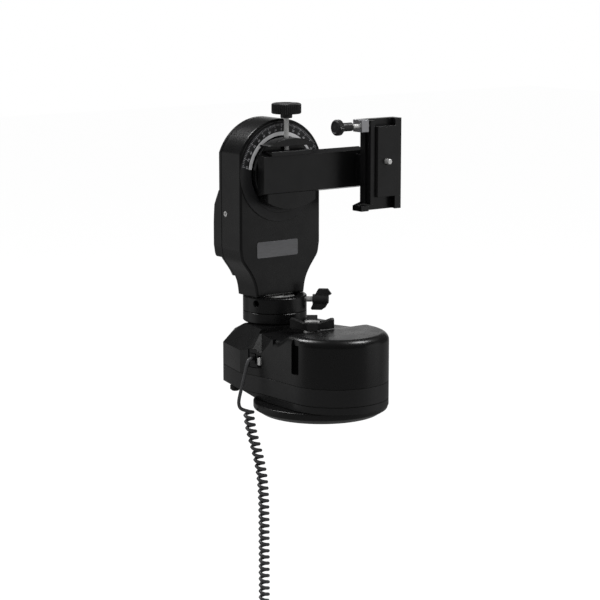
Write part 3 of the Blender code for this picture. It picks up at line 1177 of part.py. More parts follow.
def shoe():
    """The camera shoe in its channel, its clamp jaw, the clamp knob and the captive camera screw."""
    channel = UPRIGHT_BACK_Y - UPRIGHT_WALL
    lip_front = channel - LIP_DEPTH
    back = channel - GAP
    front = back - SHOE_THICKNESS
    half_front = SHOE_HALF_BACK - SHOE_SLOPE * SHOE_THICKNESS
    outline = [(SHOE_X - SHOE_HALF_BACK, back), (SHOE_X - half_front, front),
               (SHOE_X + half_front, front), (SHOE_X + SHOE_HALF_BACK, back)]
    body = prism(outline, SHOE_Z - SHOE_HALF_LENGTH, SHOE_Z + SHOE_HALF_LENGTH)
    head_front = back - CAMERA_SCREW_HEAD_HEIGHT - GAP
    recess = rod(CAMERA_SCREW_HEAD_RADIUS + GAP, head_front - GAP, back + 5.0)
    cut(body, along_y(recess, SHOE_X, SHOE_Z))
    cut(body, along_y(rod(CAMERA_SCREW_RADIUS + GAP, front - 5.0, back), SHOE_X, SHOE_Z))
    finish(body, "camera_shoe", BLACK_METAL)
    screw = turned([
        (0.0, front - CAMERA_SCREW_REACH), (CAMERA_SCREW_RADIUS - 0.6, front - CAMERA_SCREW_REACH),
        (CAMERA_SCREW_RADIUS, front - CAMERA_SCREW_REACH + 0.8), (CAMERA_SCREW_RADIUS, head_front),
        (CAMERA_SCREW_HEAD_RADIUS, head_front), (CAMERA_SCREW_HEAD_RADIUS, back), (0.0, back),
    ])
    finish(along_y(screw, SHOE_X, SHOE_Z), "camera_screw", STEEL, (SHOE_X, 0.0, SHOE_Z))

    touch_back = SHOE_X - SHOE_HALF_BACK - GAP
    touch_front = touch_back + SHOE_SLOPE * (LIP_DEPTH - GAP)
    jaw = prism([(SHOE_JAW_NEAR_X, lip_front), (touch_front, lip_front), (touch_back, back),
                 (SHOE_JAW_NEAR_X, back)], SHOE_JAW_FOOT_Z, SHOE_JAW_TOP_Z)
    finish(jaw, "shoe_jaw", BLACK_METAL)

    pivot = (0.0, SHOE_CLAMP_Y, SHOE_CLAMP_Z)
    knob_end = SHOE_CLAMP_KNOB_X + SHOE_CLAMP_KNOB_LENGTH
    hub_end = knob_end + SHOE_CLAMP_HUB_LENGTH
    screw = rod(SHOE_CLAMP_SCREW_RADIUS, knob_end - 3.0, SHOE_JAW_NEAR_X - GAP, 20)
    finish(along_x(screw, SHOE_CLAMP_Y, SHOE_CLAMP_Z), "shoe_clamp_screw", STEEL, pivot)
    bore = SHOE_CLAMP_SCREW_RADIUS + GAP
    radius = SHOE_CLAMP_KNOB_RADIUS
    knob = turned([
        (0.0, SHOE_CLAMP_KNOB_X), (radius - 1.6, SHOE_CLAMP_KNOB_X), (radius, SHOE_CLAMP_KNOB_X + 1.6),
        (radius, knob_end - 1.0), (radius - 1.0, knob_end), (SHOE_CLAMP_HUB_RADIUS, knob_end),
        (SHOE_CLAMP_HUB_RADIUS, hub_end), (bore, hub_end), (bore, knob_end - 3.0 - GAP),
        (0.0, knob_end - 3.0 - GAP),
    ])
    finish(along_x(knob, SHOE_CLAMP_Y, SHOE_CLAMP_Z), "shoe_clamp_knob", BLACK_PLASTIC, pivot)


def smooth_route(points, step):
    """Points a step apart on a smooth curve through the route's own points."""
    points = [Vector(point) for point in points]
    padded = [2.0 * points[0] - points[1]] + points + [2.0 * points[-1] - points[-2]]
    fine = []
    for a, b, c, d in zip(padded, padded[1:], padded[2:], padded[3:]):
        for k in range(16):
            t = k / 16.0
            fine.append(0.5 * (2.0 * b + (c - a) * t + (2.0 * a - 5.0 * b + 4.0 * c - d) * t * t
                               + (3.0 * b - a - 3.0 * c + d) * t ** 3))
    fine.append(points[-1])
    lengths = np.cumsum([0.0] + [(q - p).length for p, q in zip(fine, fine[1:])])
    count = max(2, round(lengths[-1] / step))
    result = []
    for k in range(count + 1):
        target = lengths[-1] * k / count
        place = [float(np.interp(target, lengths, [p[axis] for p in fine])) for axis in range(3)]
        result.append(Vector(place))
    return result


def curl_centre(depth):
    """The middle of the curls at a depth below their top; they swing in under the port."""
    swing = CURL_SWING * (1.0 - math.exp(-(max(depth, 0.0) / CURL_SWING_HEIGHT) ** 2))
    x, y, z = CURL_TOP
    return Vector((x - swing * CURL_FRONT[1], y + swing * CURL_FRONT[0], z - depth))


def curl_points():
    """The curly cord's centre line, from its straight start to its straight end."""
    start_angle = math.atan2(CURL_FRONT[1], CURL_FRONT[0])
    total = CURL_COUNT * CURL_POINTS
    helix = []
    for k in range(total + 1):
        turn = k / CURL_POINTS
        left = CURL_COUNT - turn
        radius = CURL_RADIUS * min(1.0, left / 0.9) ** 0.7
        angle = start_angle + math.tau * turn
        centre = curl_centre(CURL_PITCH * turn)
        helix.append(centre + radius * Vector((math.cos(angle), math.sin(angle), 0.0)))
    slope = CURL_PITCH / (math.tau * CURL_RADIUS)
    heading = Vector((-CURL_FRONT[1], CURL_FRONT[0], -slope)).normalized()
    start = helix[0] - heading * (1.3 * CORD_DIAMETER)
    end = helix[-1]
    tail = [end + Vector((0.0, 0.0, -CORD_TAIL * share)) for share in (0.35, 0.7, 1.0)]
    return [start] + helix + tail, heading


def report_gap(points):
    """Print the least gap that the curly tube leaves to itself."""
    places = np.array([tuple(point) for point in points])
    steps = np.linalg.norm(np.diff(places, axis=0), axis=1)
    along = np.concatenate([[0.0], np.cumsum(steps)])
    distance = np.linalg.norm(places[:, None] - places[None, :], axis=2)
    apart = np.abs(along[:, None] - along[None, :]) > 2.2 * CORD_DIAMETER
    print("least gap in the curly cord, mm:", round(float(distance[apart].min()) - CORD_DIAMETER, 2))
    print("length of the curly cord, mm:", round(float(along[-1]), 1))


def cord_tube(name, points, sides):
    curve = bpy.data.curves.new(name, "CURVE")
    curve.dimensions = "3D"
    curve.bevel_depth = CORD_DIAMETER / 2.0 * MM
    curve.bevel_resolution = sides
    curve.use_fill_caps = True
    curve.resolution_u = 1
    curve.render_resolution_u = 0
    spline = curve.splines.new("POLY")
    spline.points.add(len(points) - 1)
    for point, place in zip(spline.points, points):
        point.co = (*(place * MM), 1.0)
    curve.materials.append(material(name, CORD_BLACK))
    obj = bpy.data.objects.new(name, curve)
    bpy.context.collection.objects.link(obj)
    return obj


def cord():
    """The lead from the port, the curls and the far plug."""
    points, heading = curl_points()
    report_gap(points)
    cord_tube("cord_curls", points, 1)
    frame = side_frame(PORT_Y, PORT_Z)
    exit_point = frame @ Vector((0.0, 1.6 + GAP, 0.0))
    straight = frame @ Vector((0.0, 1.6 + GAP + CORD_DIAMETER, 0.0))
    join_end = points[0] - heading * GAP
    join_start = join_end - heading * CORD_DIAMETER
    route = [exit_point, straight] + [Vector(point) for point in LEAD_ROUTE] + [join_start, join_end]
    lead = smooth_route(route, LEAD_STEP)
    print("length of the lead, mm:", round(sum((b - a).length for a, b in zip(lead, lead[1:])), 1))
    cord_tube("cord_lead", lead, 2)

    end = points[-1]
    top = end.z - GAP
    plug = rod(0.75 * CORD_DIAMETER, top - 4.0, top, 20)
    half = PLUG_HEIGHT / 2.0
    thin = PLUG_WIDTH / 2.0
    join(plug, block((-half, -thin, top - 3.0 - PLUG_DEPTH), (half, thin, top - 3.0)))
    latch = loft([
        [(-1.6, -thin - 2.6, top - 3.5), (1.6, -thin - 2.6, top - 3.5),
         (1.6, -thin - 1.4, top - 3.5), (-1.6, -thin - 1.4, top - 3.5)],
        [(-1.6, -thin - 1.2, top - 2.0 - PLUG_DEPTH), (1.6, -thin - 1.2, top - 2.0 - PLUG_DEPTH),
         (1.6, -thin + 0.6, top - 2.0 - PLUG_DEPTH), (-1.6, -thin + 0.6, top - 2.0 - PLUG_DEPTH)],
    ])
    join(plug, latch)
    finish(shift(plug, end.x, end.y, 0.0), "cord_far_plug", BLACK_PLASTIC)


def main():
    clear_scene()
    tripod_side()
    base_plates()
    base_casing()
    port()
    place = (WORM_Y, WORM_Z)
    motor_place = (WORM_Y + MOTOR_OFFSET, WORM_Z + 6.0)
    seat = (-90.0, WORM_Z - SEAM_LOW_Z - WALL - GAP)
    motor_drive("azimuth", AZIMUTH_WHEEL_RADIUS, 180.0, place, motor_place, seat)
    control_board()
    azimuth_lock()
    collar()
    arm_lock()
    arm_shell()
    arm_cover()
    setting_circle()
    place = (ALTITUDE_WHEEL_Y + ALTITUDE_WHEEL_WIDTH / 2.0, ALTITUDE_Z - ALTITUDE_WHEEL_RADIUS - WORM_RADIUS)
    motor_place = (place[0] + 9.0, place[1] - MOTOR_OFFSET + 1.0)
    seat = (180.0, place[0] - ARM_FACE_Y - WALL - GAP)
    motor_drive("altitude", ALTITUDE_WHEEL_RADIUS, 90.0, place, motor_place, seat)
    altitude_axis()
    saddle()
    bracket()
    shoe()
    cord()


main()
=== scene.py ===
"""Looks for the motorized camera head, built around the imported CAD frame.

Visible pieces are rebuilt from the CAD's own sizes with finer curves and softened edges.
Sizes are in millimetres until a piece is finished, and then in metres.
"""
import json
import math

import bmesh
import bpy
import numpy as np
from mathutils import Matrix, Vector


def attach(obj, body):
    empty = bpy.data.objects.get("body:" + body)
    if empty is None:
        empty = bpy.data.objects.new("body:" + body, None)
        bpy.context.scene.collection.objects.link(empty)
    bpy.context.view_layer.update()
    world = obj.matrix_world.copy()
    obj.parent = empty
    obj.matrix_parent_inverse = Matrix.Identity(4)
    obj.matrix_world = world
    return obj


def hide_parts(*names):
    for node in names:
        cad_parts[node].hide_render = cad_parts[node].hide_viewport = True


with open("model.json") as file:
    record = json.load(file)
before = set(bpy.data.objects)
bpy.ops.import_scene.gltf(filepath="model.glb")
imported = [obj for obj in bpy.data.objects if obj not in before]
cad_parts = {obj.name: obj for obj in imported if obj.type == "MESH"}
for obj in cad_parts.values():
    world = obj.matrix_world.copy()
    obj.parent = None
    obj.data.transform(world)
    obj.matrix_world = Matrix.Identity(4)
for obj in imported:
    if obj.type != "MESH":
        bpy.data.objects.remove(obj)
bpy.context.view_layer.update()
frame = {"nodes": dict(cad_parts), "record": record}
RECORD = frame["record"]
BODY_OF = {node: body for body, nodes in RECORD["behaviour"]["bodies"].items() for node in nodes}
SLOT_OF = {part["node"]: part["material_slot"] for part in RECORD["subparts"]}

MM = 0.001
UP = Vector((0.0, 0.0, 1.0))
WHITE = (1.0, 1.0, 1.0)

# Clearance between pieces, wall of the casings, and how far a cutting tool runs past a piece
GAP = 0.3
WALL = 3.5
PAST = 5.0

# Corners on a full round, by its size, and steps on the outlines and edges of drum and arm
DIAL_ROUND = 180
LARGE_ROUND = 128
HUB_ROUND = 96
SHAFT_ROUND = 64
BORE_ROUND = 48
SCREW_ROUND = 40
SMALL_ROUND = 32
DRUM_FINE = 36
ARM_FINE = 40
COARSE = 12
EDGE_STEPS = 7

# Flange, bottom plate and hub
FLANGE_RADIUS = 70.0
FLANGE_FOOT_RADIUS = 62.0
FLANGE_HEIGHT = 12.0
FLANGE_CHAMFER = 5.5
FLANGE_SCREW_CIRCLE = 46.0
INSERT_RADIUS = 9.0
THREAD_PITCH = 1.5875
SPINDLE_FOOT_HEIGHT = 2.7
BEARING_HEIGHT = 14.0
BEARING_OUTER_RADIUS = 27.5
HUB_RADIUS = 32.0
PLATE_REAR = (44.0, 74.0)
PLATE_CHAMFER = 9.0
PLATE_Z = FLANGE_HEIGHT + GAP
SPINDLE_SHOULDER_Z = PLATE_Z + SPINDLE_FOOT_HEIGHT
BEARING_TOP_Z = SPINDLE_SHOULDER_Z + GAP + BEARING_HEIGHT
HUB_TOP_Z = BEARING_TOP_Z + 1.7

# Drum and box: places seen from above, heights, and the grooves
DRUM_RADIUS = 55.0
DRUM_CENTRE_Y = -25.0
DRUM_BACK_Y = 14.0
DRUM_EDGE = 8.5
BOX_FRONT_Y = 9.0
BOX_CORNER_FRONT = (56.0, 27.0)
BOX_CORNER_SIDE = (62.0, 57.0)
BOX_CORNER_REAR = (50.0, 105.0)
BOX_CORNER_BACK = (38.0, 122.0)
ROOF_CORNER_SIDE = (43.0, 44.0)
ROOF_CORNER_REAR = (36.0, 85.0)
ROOF_CORNER_BACK = (28.0, 101.0)
PEDESTAL_FRONT_Y = 45.0
VALLEY_FRONT_Y = 4.0
DECK_SLOPE_LENGTH = 20.0
BACK_SLOPE_Y = 84.5
BACK_SLOPE = 0.46
BOSS_RADIUS = 28.5
SEAM_LOW_Z = 20.0
SEAM_HIGH_Z = 38.5
EAVE_Z = 62.0
EAVE_DIP_Z = 63.0
EAVE_PEAK_Z = 66.0
EAVE_BACK_Z = 57.5
VALLEY_Z = 80.0
PEDESTAL_Z = 84.0
DECK_Z = 88.0
GROOVE_Y = DRUM_CENTRE_Y - 3.5
GROOVE_WIDTH = 11.0
GROOVE_DEPTH = 2.6
GROOVE_FLOOR_Z = 50.0
GROOVE_CORNER = 1.5

# Port and switch in the left wall, and the lock in the deck
PORT_Y = 39.5
PORT_Z = 56.0
SOCKET_WIDTH = 11.6
SOCKET_HEIGHT = 19.0
SWITCH_Y = 29.8
SWITCH_Z = 54.0
SWITCH_WIDTH = 5.2
SWITCH_HEIGHT = 13.0
LOCK_Y = 14.5
LOCK_STUD_RADIUS = 3.0

# Collar and the arm's lock
COLLAR_Y = 80.0
COLLAR_RADIUS = 34.0
COLLAR_SEAM_Z = 96.0
COLLAR_TOP_Z = 112.0
COLLAR_EDGE = 1.6
POST_FLANGE_RADIUS = 22.0
POST_RADIUS = 15.0
POST_BORE_RADIUS = 6.0
BUSH_WALL = 4.4
CAP_RADIUS = 21.0
ARM_LOCK_Z = 107.0
ARM_LOCK_ANGLE = -42.0
ARM_LOCK_RADIUS = 3.0
ARM_PAD_LENGTH = 2.5
SET_HOLE_ANGLE = -162.0
SET_HOLE_RADIUS = 2.6
SET_HOLE_RIM_RADIUS = 4.0

# Arm
ARM_FACE_Y = 69.0
ARM_SEAM_Y = 103.0
ARM_BACK_Y = 109.0
BULGE_BACK_Y = 121.5
ARM_HALF_WIDTH = 52.0
NECK_HALF_WIDTH = 31.0
HEAD_SWELL = 4.0
HEAD_RADIUS = ARM_HALF_WIDTH + HEAD_SWELL
ALTITUDE_Z = 243.0
SHOULDER_Z = 165.0
SHOULDER_CURVE = (
    (0.0, 0.0), (0.19, 0.07), (0.34, 0.19), (0.51, 0.43), (0.66, 0.71), (0.78, 0.9), (1.0, 1.0),
)
ARM_EDGE = 2.5
COVER_FOOT_Z = 132.0
BULGE_FOOT_Z = 152.5
BULGE_TOP_Z = 226.0
BULGE_CREST_Z = 190.0
CAVITY_FLOOR_Z = 118.0
COVER_SCREW_Z = 200.0
COVER_SCREW_Y = ARM_SEAM_Y - 6.0
COVER_SCREW_RADIUS = 3.0
LABEL_X = (-31.0, 22.0)
LABEL_Z = (154.0, 171.0)
LABEL_CORNER = 2.0

# Altitude circle; its marks run both ways from the top, in degrees
DIAL_PLACE = Matrix.Translation((0.0, ARM_FACE_Y, ALTITUDE_Z))
CIRCLE_OUTER_RADIUS = ARM_HALF_WIDTH
CIRCLE_WIDTH = 13.4
CIRCLE_INNER_RADIUS = CIRCLE_OUTER_RADIUS - CIRCLE_WIDTH
CIRCLE_THICKNESS = 1.0
CIRCLE_BAND_RADIUS = 42.6
BAND_EDGE = 0.25
DIAL_SPAN = 82.5
DIAL_MARKS = 80
NUMBER_SIZE = 3.1

# Altitude shaft, saddle and its clamp knob
SHAFT_RADIUS = 9.0
SHAFT_FRONT_Y = 63.0
SADDLE_RADIUS = 37.5
SADDLE_BACK_Y = 67.4
SADDLE_SEAT_Y = 62.0
SADDLE_FRONT_Y = 49.0
SADDLE_HALF_LENGTH = 31.0
LUG_FOOT = 29.0
LUG_TOP = 37.4
LOWER_JAW_DEPTH = 37.0
CLAMP_Y = 59.0
CLAMP_SCREW_RADIUS = 2.6
CLAMP_HUB_RADIUS = 6.2
CLAMP_HUB_RISE = 20.1
CLAMP_HUB_LENGTH = 4.5
CLAMP_HEAD_RADIUS = 15.6
CLAMP_HEAD_HEIGHT = 11.0
CLAMP_HUB_Z = ALTITUDE_Z + LUG_TOP + CLAMP_HUB_RISE
CLAMP_HEAD_Z = CLAMP_HUB_Z + CLAMP_HUB_LENGTH
CLAMP_TOP_Z = CLAMP_HEAD_Z + CLAMP_HEAD_HEIGHT

# Camera bar and the shoe's clamp knob
BAR_HALF_BACK = 22.0
BAR_HALF_FRONT = 19.2
BAR_THICKNESS = 11.4
SHOE_CLAMP_Z = 290.5
SHOE_CLAMP_Y = 25.2
SHOE_CLAMP_SCREW_RADIUS = 2.4
SHOE_CLAMP_KNOB_X = 37.5
SHOE_CLAMP_KNOB_LENGTH = 7.0
SHOE_CLAMP_KNOB_RADIUS = 8.4
SHOE_CLAMP_HUB_RADIUS = 4.5
SHOE_CLAMP_HUB_LENGTH = 15.0

# Cord; its length is in metres
CORD_DIAMETER = 3.6
CORD_STEP = 1.6
PLUG_PROUD = 1.6
CURL_RADIUS = 4.2
CURL_PITCH = 6.8
CURL_COUNT = 31
CURL_POINTS = 8
CURL_TOP = (-65.0, 37.4, 2.0)
CURL_FRONT = (-0.6, -0.8)
CURL_SWING = 15.4
CURL_SWING_HEIGHT = 50.0
CURL_CLOSING = 0.9
CORD_TAIL = 14.0
LEAD_ROUTE = (
    (-65.6, 38.0, 54.0),
    (-67.4, 37.6, 49.5),
    (-69.0, 37.7, 43.0),
    (-72.6, 38.9, 28.0),
    (-75.4, 40.1, 15.0),
    (-75.8, 40.3, 9.0),
    (-74.6, 39.5, 4.9),
)

# Camera and studio, in metres and degrees
CAMERA_LENS = 120.0
CAMERA_SENSOR = 36.0
CAMERA_PLACE = (-1.2394, -1.6093, 0.4822)
CAMERA_TURN = (79.8, 0.0, -37.0)
FLOOR_Z = -0.262
FLOOR_HALF = 6.0
FLOOR_COLOUR = (0.15, 0.15, 0.15)
# Levels are the light given, the dim room and the backdrop in gloss, and the camera's view
FLOOR_LEVELS = (0.0, 0.0, 0.6, 0.86)
WORLD_LEVELS = (0.85, 0.06, 1.0, 1.0)
BACKDROP = (0.6, 0.79, -0.1)
BACKDROP_EDGE = (0.915, 0.988)
LAMP_TARGET = (0.0, 0.0, 0.12)
LAMPS = (
    ("lamp_left_high", (-0.42, 1.02, 1.66), (0.5, 0.6), 15.0),
    ("lamp_right_high", (0.84, -0.5, 1.75), (0.6, 0.6), 18.0),
    ("lamp_left_low", (-1.05, 0.85, 0.2), (0.9, 1.0), 0.9),
    ("lamp_right_low", (1.0, -0.85, 0.15), (0.9, 0.7), 0.7),
)

# Finishes; a mix node's sockets are its factor, first, second and result
SMOOTH_ANGLE = 38.0
MOTTLE = 0.12
VECTOR_MATHS = "ShaderNodeVectorMath"
MIX_SOCKETS = {"FLOAT": (0, 2, 3, 0), "RGBA": (0, 6, 7, 2)}


def add_object(name, data):
    obj = bpy.data.objects.new(name, data)
    bpy.context.collection.objects.link(obj)
    return obj


def final_mesh(obj):
    """A mesh of the object as its modifiers or its curve settings make it."""
    depsgraph = bpy.context.evaluated_depsgraph_get()
    return bpy.data.meshes.new_from_object(obj.evaluated_get(depsgraph))


def apply_modifiers(obj):
    mesh = final_mesh(obj)
    obj.modifiers.clear()
    obj.data = mesh
    return obj


def solid(bm):
    """Turn a bmesh into an object with its faces pointing out."""
    bmesh.ops.recalc_face_normals(bm, faces=bm.faces)
    mesh = bpy.data.meshes.new("piece")
    bm.to_mesh(mesh)
    bm.free()
    return add_object("piece", mesh)


def combine(target, tool, operation):
    """Join or cut a target with a tool, which is used up."""
    modifier = target.modifiers.new("combine", "BOOLEAN")
    modifier.operation = operation
    modifier.solver = "EXACT"
    modifier.object = tool
    bpy.context.view_layer.update()
    weld(apply_modifiers(target).data)
    bpy.data.objects.remove(tool, do_unlink=True)
    return target


def weld(mesh):
    """Merge the doubled corners that a cut leaves where faces nearly meet."""
    bm = bmesh.new()
    bm.from_mesh(mesh)
    bmesh.ops.remove_doubles(bm, verts=bm.verts, dist=0.002)
    bmesh.ops.dissolve_degenerate(bm, dist=0.002, edges=bm.edges)
    bm.to_mesh(mesh)
    bm.free()


def join(target, tool):
    return combine(target, tool, "UNION")


def cut(target, tool):
    return combine(target, tool, "DIFFERENCE")


def loft(rings):
    """Skin a stack of rings that have the same number of points, and cap both ends."""
    bm = bmesh.new()
    loops = [[bm.verts.new(point) for point in ring] for ring in rings]
    skin(bm, loops)
    bm.faces.new(loops[0])
    bm.faces.new(loops[-1])
    return solid(bm)


def skin(bm, loops):
    """Join closed loops one after another, each four-sided face split along its shorter diagonal."""
    count = len(loops[0])
    sides = []
    for low, high in zip(loops, loops[1:]):
        for k in range(count):
            n = (k + 1) % count
            sides.append(bm.faces.new((low[k], low[n], high[n], high[k])))
    bmesh.ops.triangulate(bm, faces=sides, quad_method="SHORT_EDGE")


def flat(outline, z):
    return [(x, y, z) for x, y in outline]


def upright(outline, y):
    return [(x, y, z) for x, z in outline]


def prism(outline, low, high):
    return loft([flat(outline, low), flat(outline, high)])


def slab(outline, front, back):
    """A plate whose outline lies in the X-Z plane."""
    return loft([upright(outline, front), upright(outline, back)])


def block(low, high):
    outline = [(low[0], low[1]), (high[0], low[1]), (high[0], high[1]), (low[0], high[1])]
    return prism(outline, low[2], high[2])


def polygon(radius, sides):
    angles = [math.tau * k / sides for k in range(sides)]
    return [(radius * math.cos(a), radius * math.sin(a)) for a in angles]


def turned(profile, steps):
    """Spin a profile of (radius, height) points about Z; a chain that starts and ends at 0 is solid."""
    bm = bmesh.new()
    rings = []
    for radius, height in profile:
        points = polygon(radius, steps) if radius else [(0.0, 0.0)]
        rings.append([bm.verts.new((x, y, height)) for x, y in points])
    for low, high in zip(rings, rings[1:] + rings[:1]):
        if len(low) == 1 and len(high) == 1:
            continue
        for k in range(steps):
            n = k + 1
            corners = [low[k % len(low)], low[n % len(low)], high[n % len(high)], high[k % len(high)]]
            bm.faces.new(list(dict.fromkeys(corners)))
    return solid(bm)


def rod(radius, low, high, steps):
    return turned([(0.0, low), (radius, low), (radius, high), (0.0, high)], steps)


def move(obj, matrix):
    obj.data.transform(matrix)
    return obj


def shift(obj, x, y, z):
    return move(obj, Matrix.Translation((x, y, z)))


def along_x(obj, y, z):
    """Lay a piece built about Z along X, through the point (y, z)."""
    return shift(move(obj, Matrix.Rotation(math.radians(90.0), 4, "Y")), 0.0, y, z)


def along_y(obj, x, z):
    """Lay a piece built about Z along Y, so that its height becomes Y."""
    return shift(move(obj, Matrix.Rotation(math.radians(-90.0), 4, "X")), x, 0.0, z)


def mirrored(half):
    """Close a half outline that runs from the middle of the front round +X to the back."""
    return half + [(-x, y) for x, y in reversed(half) if x > 1e-6]


def inset(outline, distance):
    """Move every side of a counterclockwise outline inward by the same distance."""
    result = []
    count = len(outline)
    for k in range(count):
        before = Vector(outline[k - 1])
        here = Vector(outline[k])
        after = Vector(outline[(k + 1) % count])
        first = (here - before).normalized()
        second = (after - here).normalized()
        normal_a = Vector((-first.y, first.x))
        normal_b = Vector((-second.y, second.x))
        bisector = (normal_a + normal_b) * (distance / (1.0 + normal_a.dot(normal_b)))
        result.append(tuple(here + bisector))
    return result


def arc(centre, radius, start, end, steps):
    """Points of an arc, with its angles in degrees."""
    angles = [math.radians(start + (end - start) * k / steps) for k in range(steps + 1)]
    return [(centre[0] + radius * math.cos(a), centre[1] + radius * math.sin(a)) for a in angles]


def wall_point(y):
    """X of the box's side wall between its front and side corners."""
    share = (y - BOX_CORNER_FRONT[1]) / (BOX_CORNER_SIDE[1] - BOX_CORNER_FRONT[1])
    return BOX_CORNER_FRONT[0] + share * (BOX_CORNER_SIDE[0] - BOX_CORNER_FRONT[0])


def axes_at(x, y, z, place):
    """A matrix that turns the axes to three directions and moves the origin to a place."""
    axes = Matrix((x, y, z)).transposed().to_4x4()
    axes.translation = Vector(place)
    return axes


def side_frame(y, z):
    """A frame on the box's left wall: X along the wall, Y outward and Z up."""
    back = BOX_CORNER_SIDE[1] - BOX_CORNER_FRONT[1]
    along = Vector((BOX_CORNER_FRONT[0] - BOX_CORNER_SIDE[0], back, 0.0)).normalized()
    outward = Vector((-along.y, along.x, 0.0))
    return axes_at(along, outward, UP, (-wall_point(y), y, z))


def radial_frame(degrees, z):
    """A frame whose Z points out of the collar at an angle, with Y up."""
    out = Vector((math.cos(math.radians(degrees)), math.sin(math.radians(degrees)), 0.0))
    return axes_at(UP.cross(out), UP, out, (0.0, 0.0, z))


def deck_height(y):
    """Height of the drum's deck, which falls into the valley in front of the pedestal."""
    share = min(1.0, max(0.0, (VALLEY_FRONT_Y - y) / DECK_SLOPE_LENGTH))
    return VALLEY_Z + (DECK_Z - VALLEY_Z) * (0.5 - 0.5 * math.cos(math.pi * share))


def box_rings(distance, low):
    """The box's wall, eave and roof rings, all moved inward and down by the same distance."""
    peak_y = ROOF_CORNER_SIDE[1] - 5.0
    side_peak = (wall_point(peak_y), peak_y)
    front = (DRUM_RADIUS - 0.1, BOX_FRONT_Y)
    wall = mirrored([(0.0, BOX_FRONT_Y), front, BOX_CORNER_FRONT, side_peak,
                     BOX_CORNER_SIDE, BOX_CORNER_REAR, BOX_CORNER_BACK])
    roof = mirrored([(0.0, BOX_FRONT_Y), (0.5 * DRUM_RADIUS, BOX_FRONT_Y), (front[0] - 0.5, BOX_FRONT_Y),
                     ROOF_CORNER_SIDE, (ROOF_CORNER_SIDE[0] - 0.5, ROOF_CORNER_SIDE[1] + 3.0),
                     ROOF_CORNER_REAR, ROOF_CORNER_BACK])
    wall = inset(wall, distance)
    half = [VALLEY_Z, VALLEY_Z, EAVE_DIP_Z, EAVE_PEAK_Z, EAVE_Z, EAVE_Z, EAVE_BACK_Z]
    heights = half + half[:0:-1]
    eave = [(x, y, z - distance) for (x, y), z in zip(wall, heights)]
    return [flat(wall, low), eave, flat(inset(roof, distance), PEDESTAL_Z - distance)]


def drum(distance, low, steps, edge_steps):
    """The drum with a rounded top edge that follows its deck, moved inward and down by a distance."""
    side = [(DRUM_RADIUS, VALLEY_FRONT_Y - DECK_SLOPE_LENGTH * (1.0 - k / 5.0)) for k in range(6)]
    half = arc((0.0, DRUM_CENTRE_Y), DRUM_RADIUS, -90.0, 0.0, steps) + side + [(DRUM_RADIUS, DRUM_BACK_Y)]
    outline = open_back(mirrored(half), distance)
    bm = bmesh.new()
    loops = [[bm.verts.new(point) for point in flat(outline, low)]]
    for k in range(edge_steps + 1):
        angle = math.pi / 2.0 * k / edge_steps
        down = distance + DRUM_EDGE * (1.0 - math.sin(angle))
        line = open_back(outline, DRUM_EDGE * (1.0 - math.cos(angle)))
        loops.append([bm.verts.new((x, y, deck_height(y) - down)) for x, y in line])
    skin(bm, loops)
    bm.faces.new(loops[0])
    deck = loops[-1]
    count = len(deck)
    bm.faces.new((deck[0], deck[1], deck[-1]))
    for k in range(1, count // 2):
        bm.faces.new((deck[k], deck[k + 1], deck[count - k - 1], deck[count - k]))
    return solid(bm)


def open_back(outline, distance):
    """Move the drum's outline inward everywhere but at its back, which lies inside the box."""
    return [(x, DRUM_BACK_Y if old_y == DRUM_BACK_Y else y)
            for (x, y), (_, old_y) in zip(inset(outline, distance), outline)]


def across(profile):
    """A tool right across the base with a profile of (y, z) points."""
    reach = 2.0 * DRUM_RADIUS
    return loft([[(x, y, z) for y, z in profile] for x in (-reach, reach)])


def valley_tool(distance):
    """What is cut away above the valley, from inside the drum to the pedestal."""
    low = VALLEY_Z - distance
    high = DECK_Z + PAST
    front = BOX_FRONT_Y - PAST
    back = PEDESTAL_FRONT_Y + distance
    return across([(front, low), (back, low), (back, high), (front, high)])


def back_tool(distance):
    """What is cut away above the roof's slope behind the collar."""
    far = BOX_CORNER_BACK[1] + 2.0 * PAST
    high = DECK_Z + PAST
    start = PEDESTAL_Z - distance
    end = start - BACK_SLOPE * (far - BACK_SLOPE_Y)
    return across([(BACK_SLOPE_Y, start), (far, end), (far, high), (BACK_SLOPE_Y, high)])


def bar_half(y):
    """Half height of the dovetail bar at a depth."""
    share = (SADDLE_SEAT_Y - GAP - y) / BAR_THICKNESS
    return BAR_HALF_BACK + share * (BAR_HALF_FRONT - BAR_HALF_BACK)


def smooth_route(points, step):
    """Points a step apart on a smooth curve through the route's own points."""
    points = [Vector(point) for point in points]
    padded = [2.0 * points[0] - points[1]] + points + [2.0 * points[-1] - points[-2]]
    fine = []
    for a, b, c, d in zip(padded, padded[1:], padded[2:], padded[3:]):
        for k in range(16):
            t = k / 16.0
            fine.append(0.5 * (2.0 * b + (c - a) * t + (2.0 * a - 5.0 * b + 4.0 * c - d) * t * t
                               + (3.0 * b - a - 3.0 * c + d) * t ** 3))
    fine.append(points[-1])
    lengths = np.cumsum([0.0] + [(q - p).length for p, q in zip(fine, fine[1:])])
    count = max(2, round(lengths[-1] / step))
    result = []
    for k in range(count + 1):
        target = lengths[-1] * k / count
        place = [float(np.interp(target, lengths, [p[axis] for p in fine])) for axis in range(3)]
        result.append(Vector(place))
    return result


def curl_centre(depth):
    """The middle of the curls at a depth below their top; they swing in under the port."""
    swing = CURL_SWING * (1.0 - math.exp(-(max(depth, 0.0) / CURL_SWING_HEIGHT) ** 2))
    x, y, z = CURL_TOP
    return Vector((x - swing * CURL_FRONT[1], y + swing * CURL_FRONT[0], z - depth))


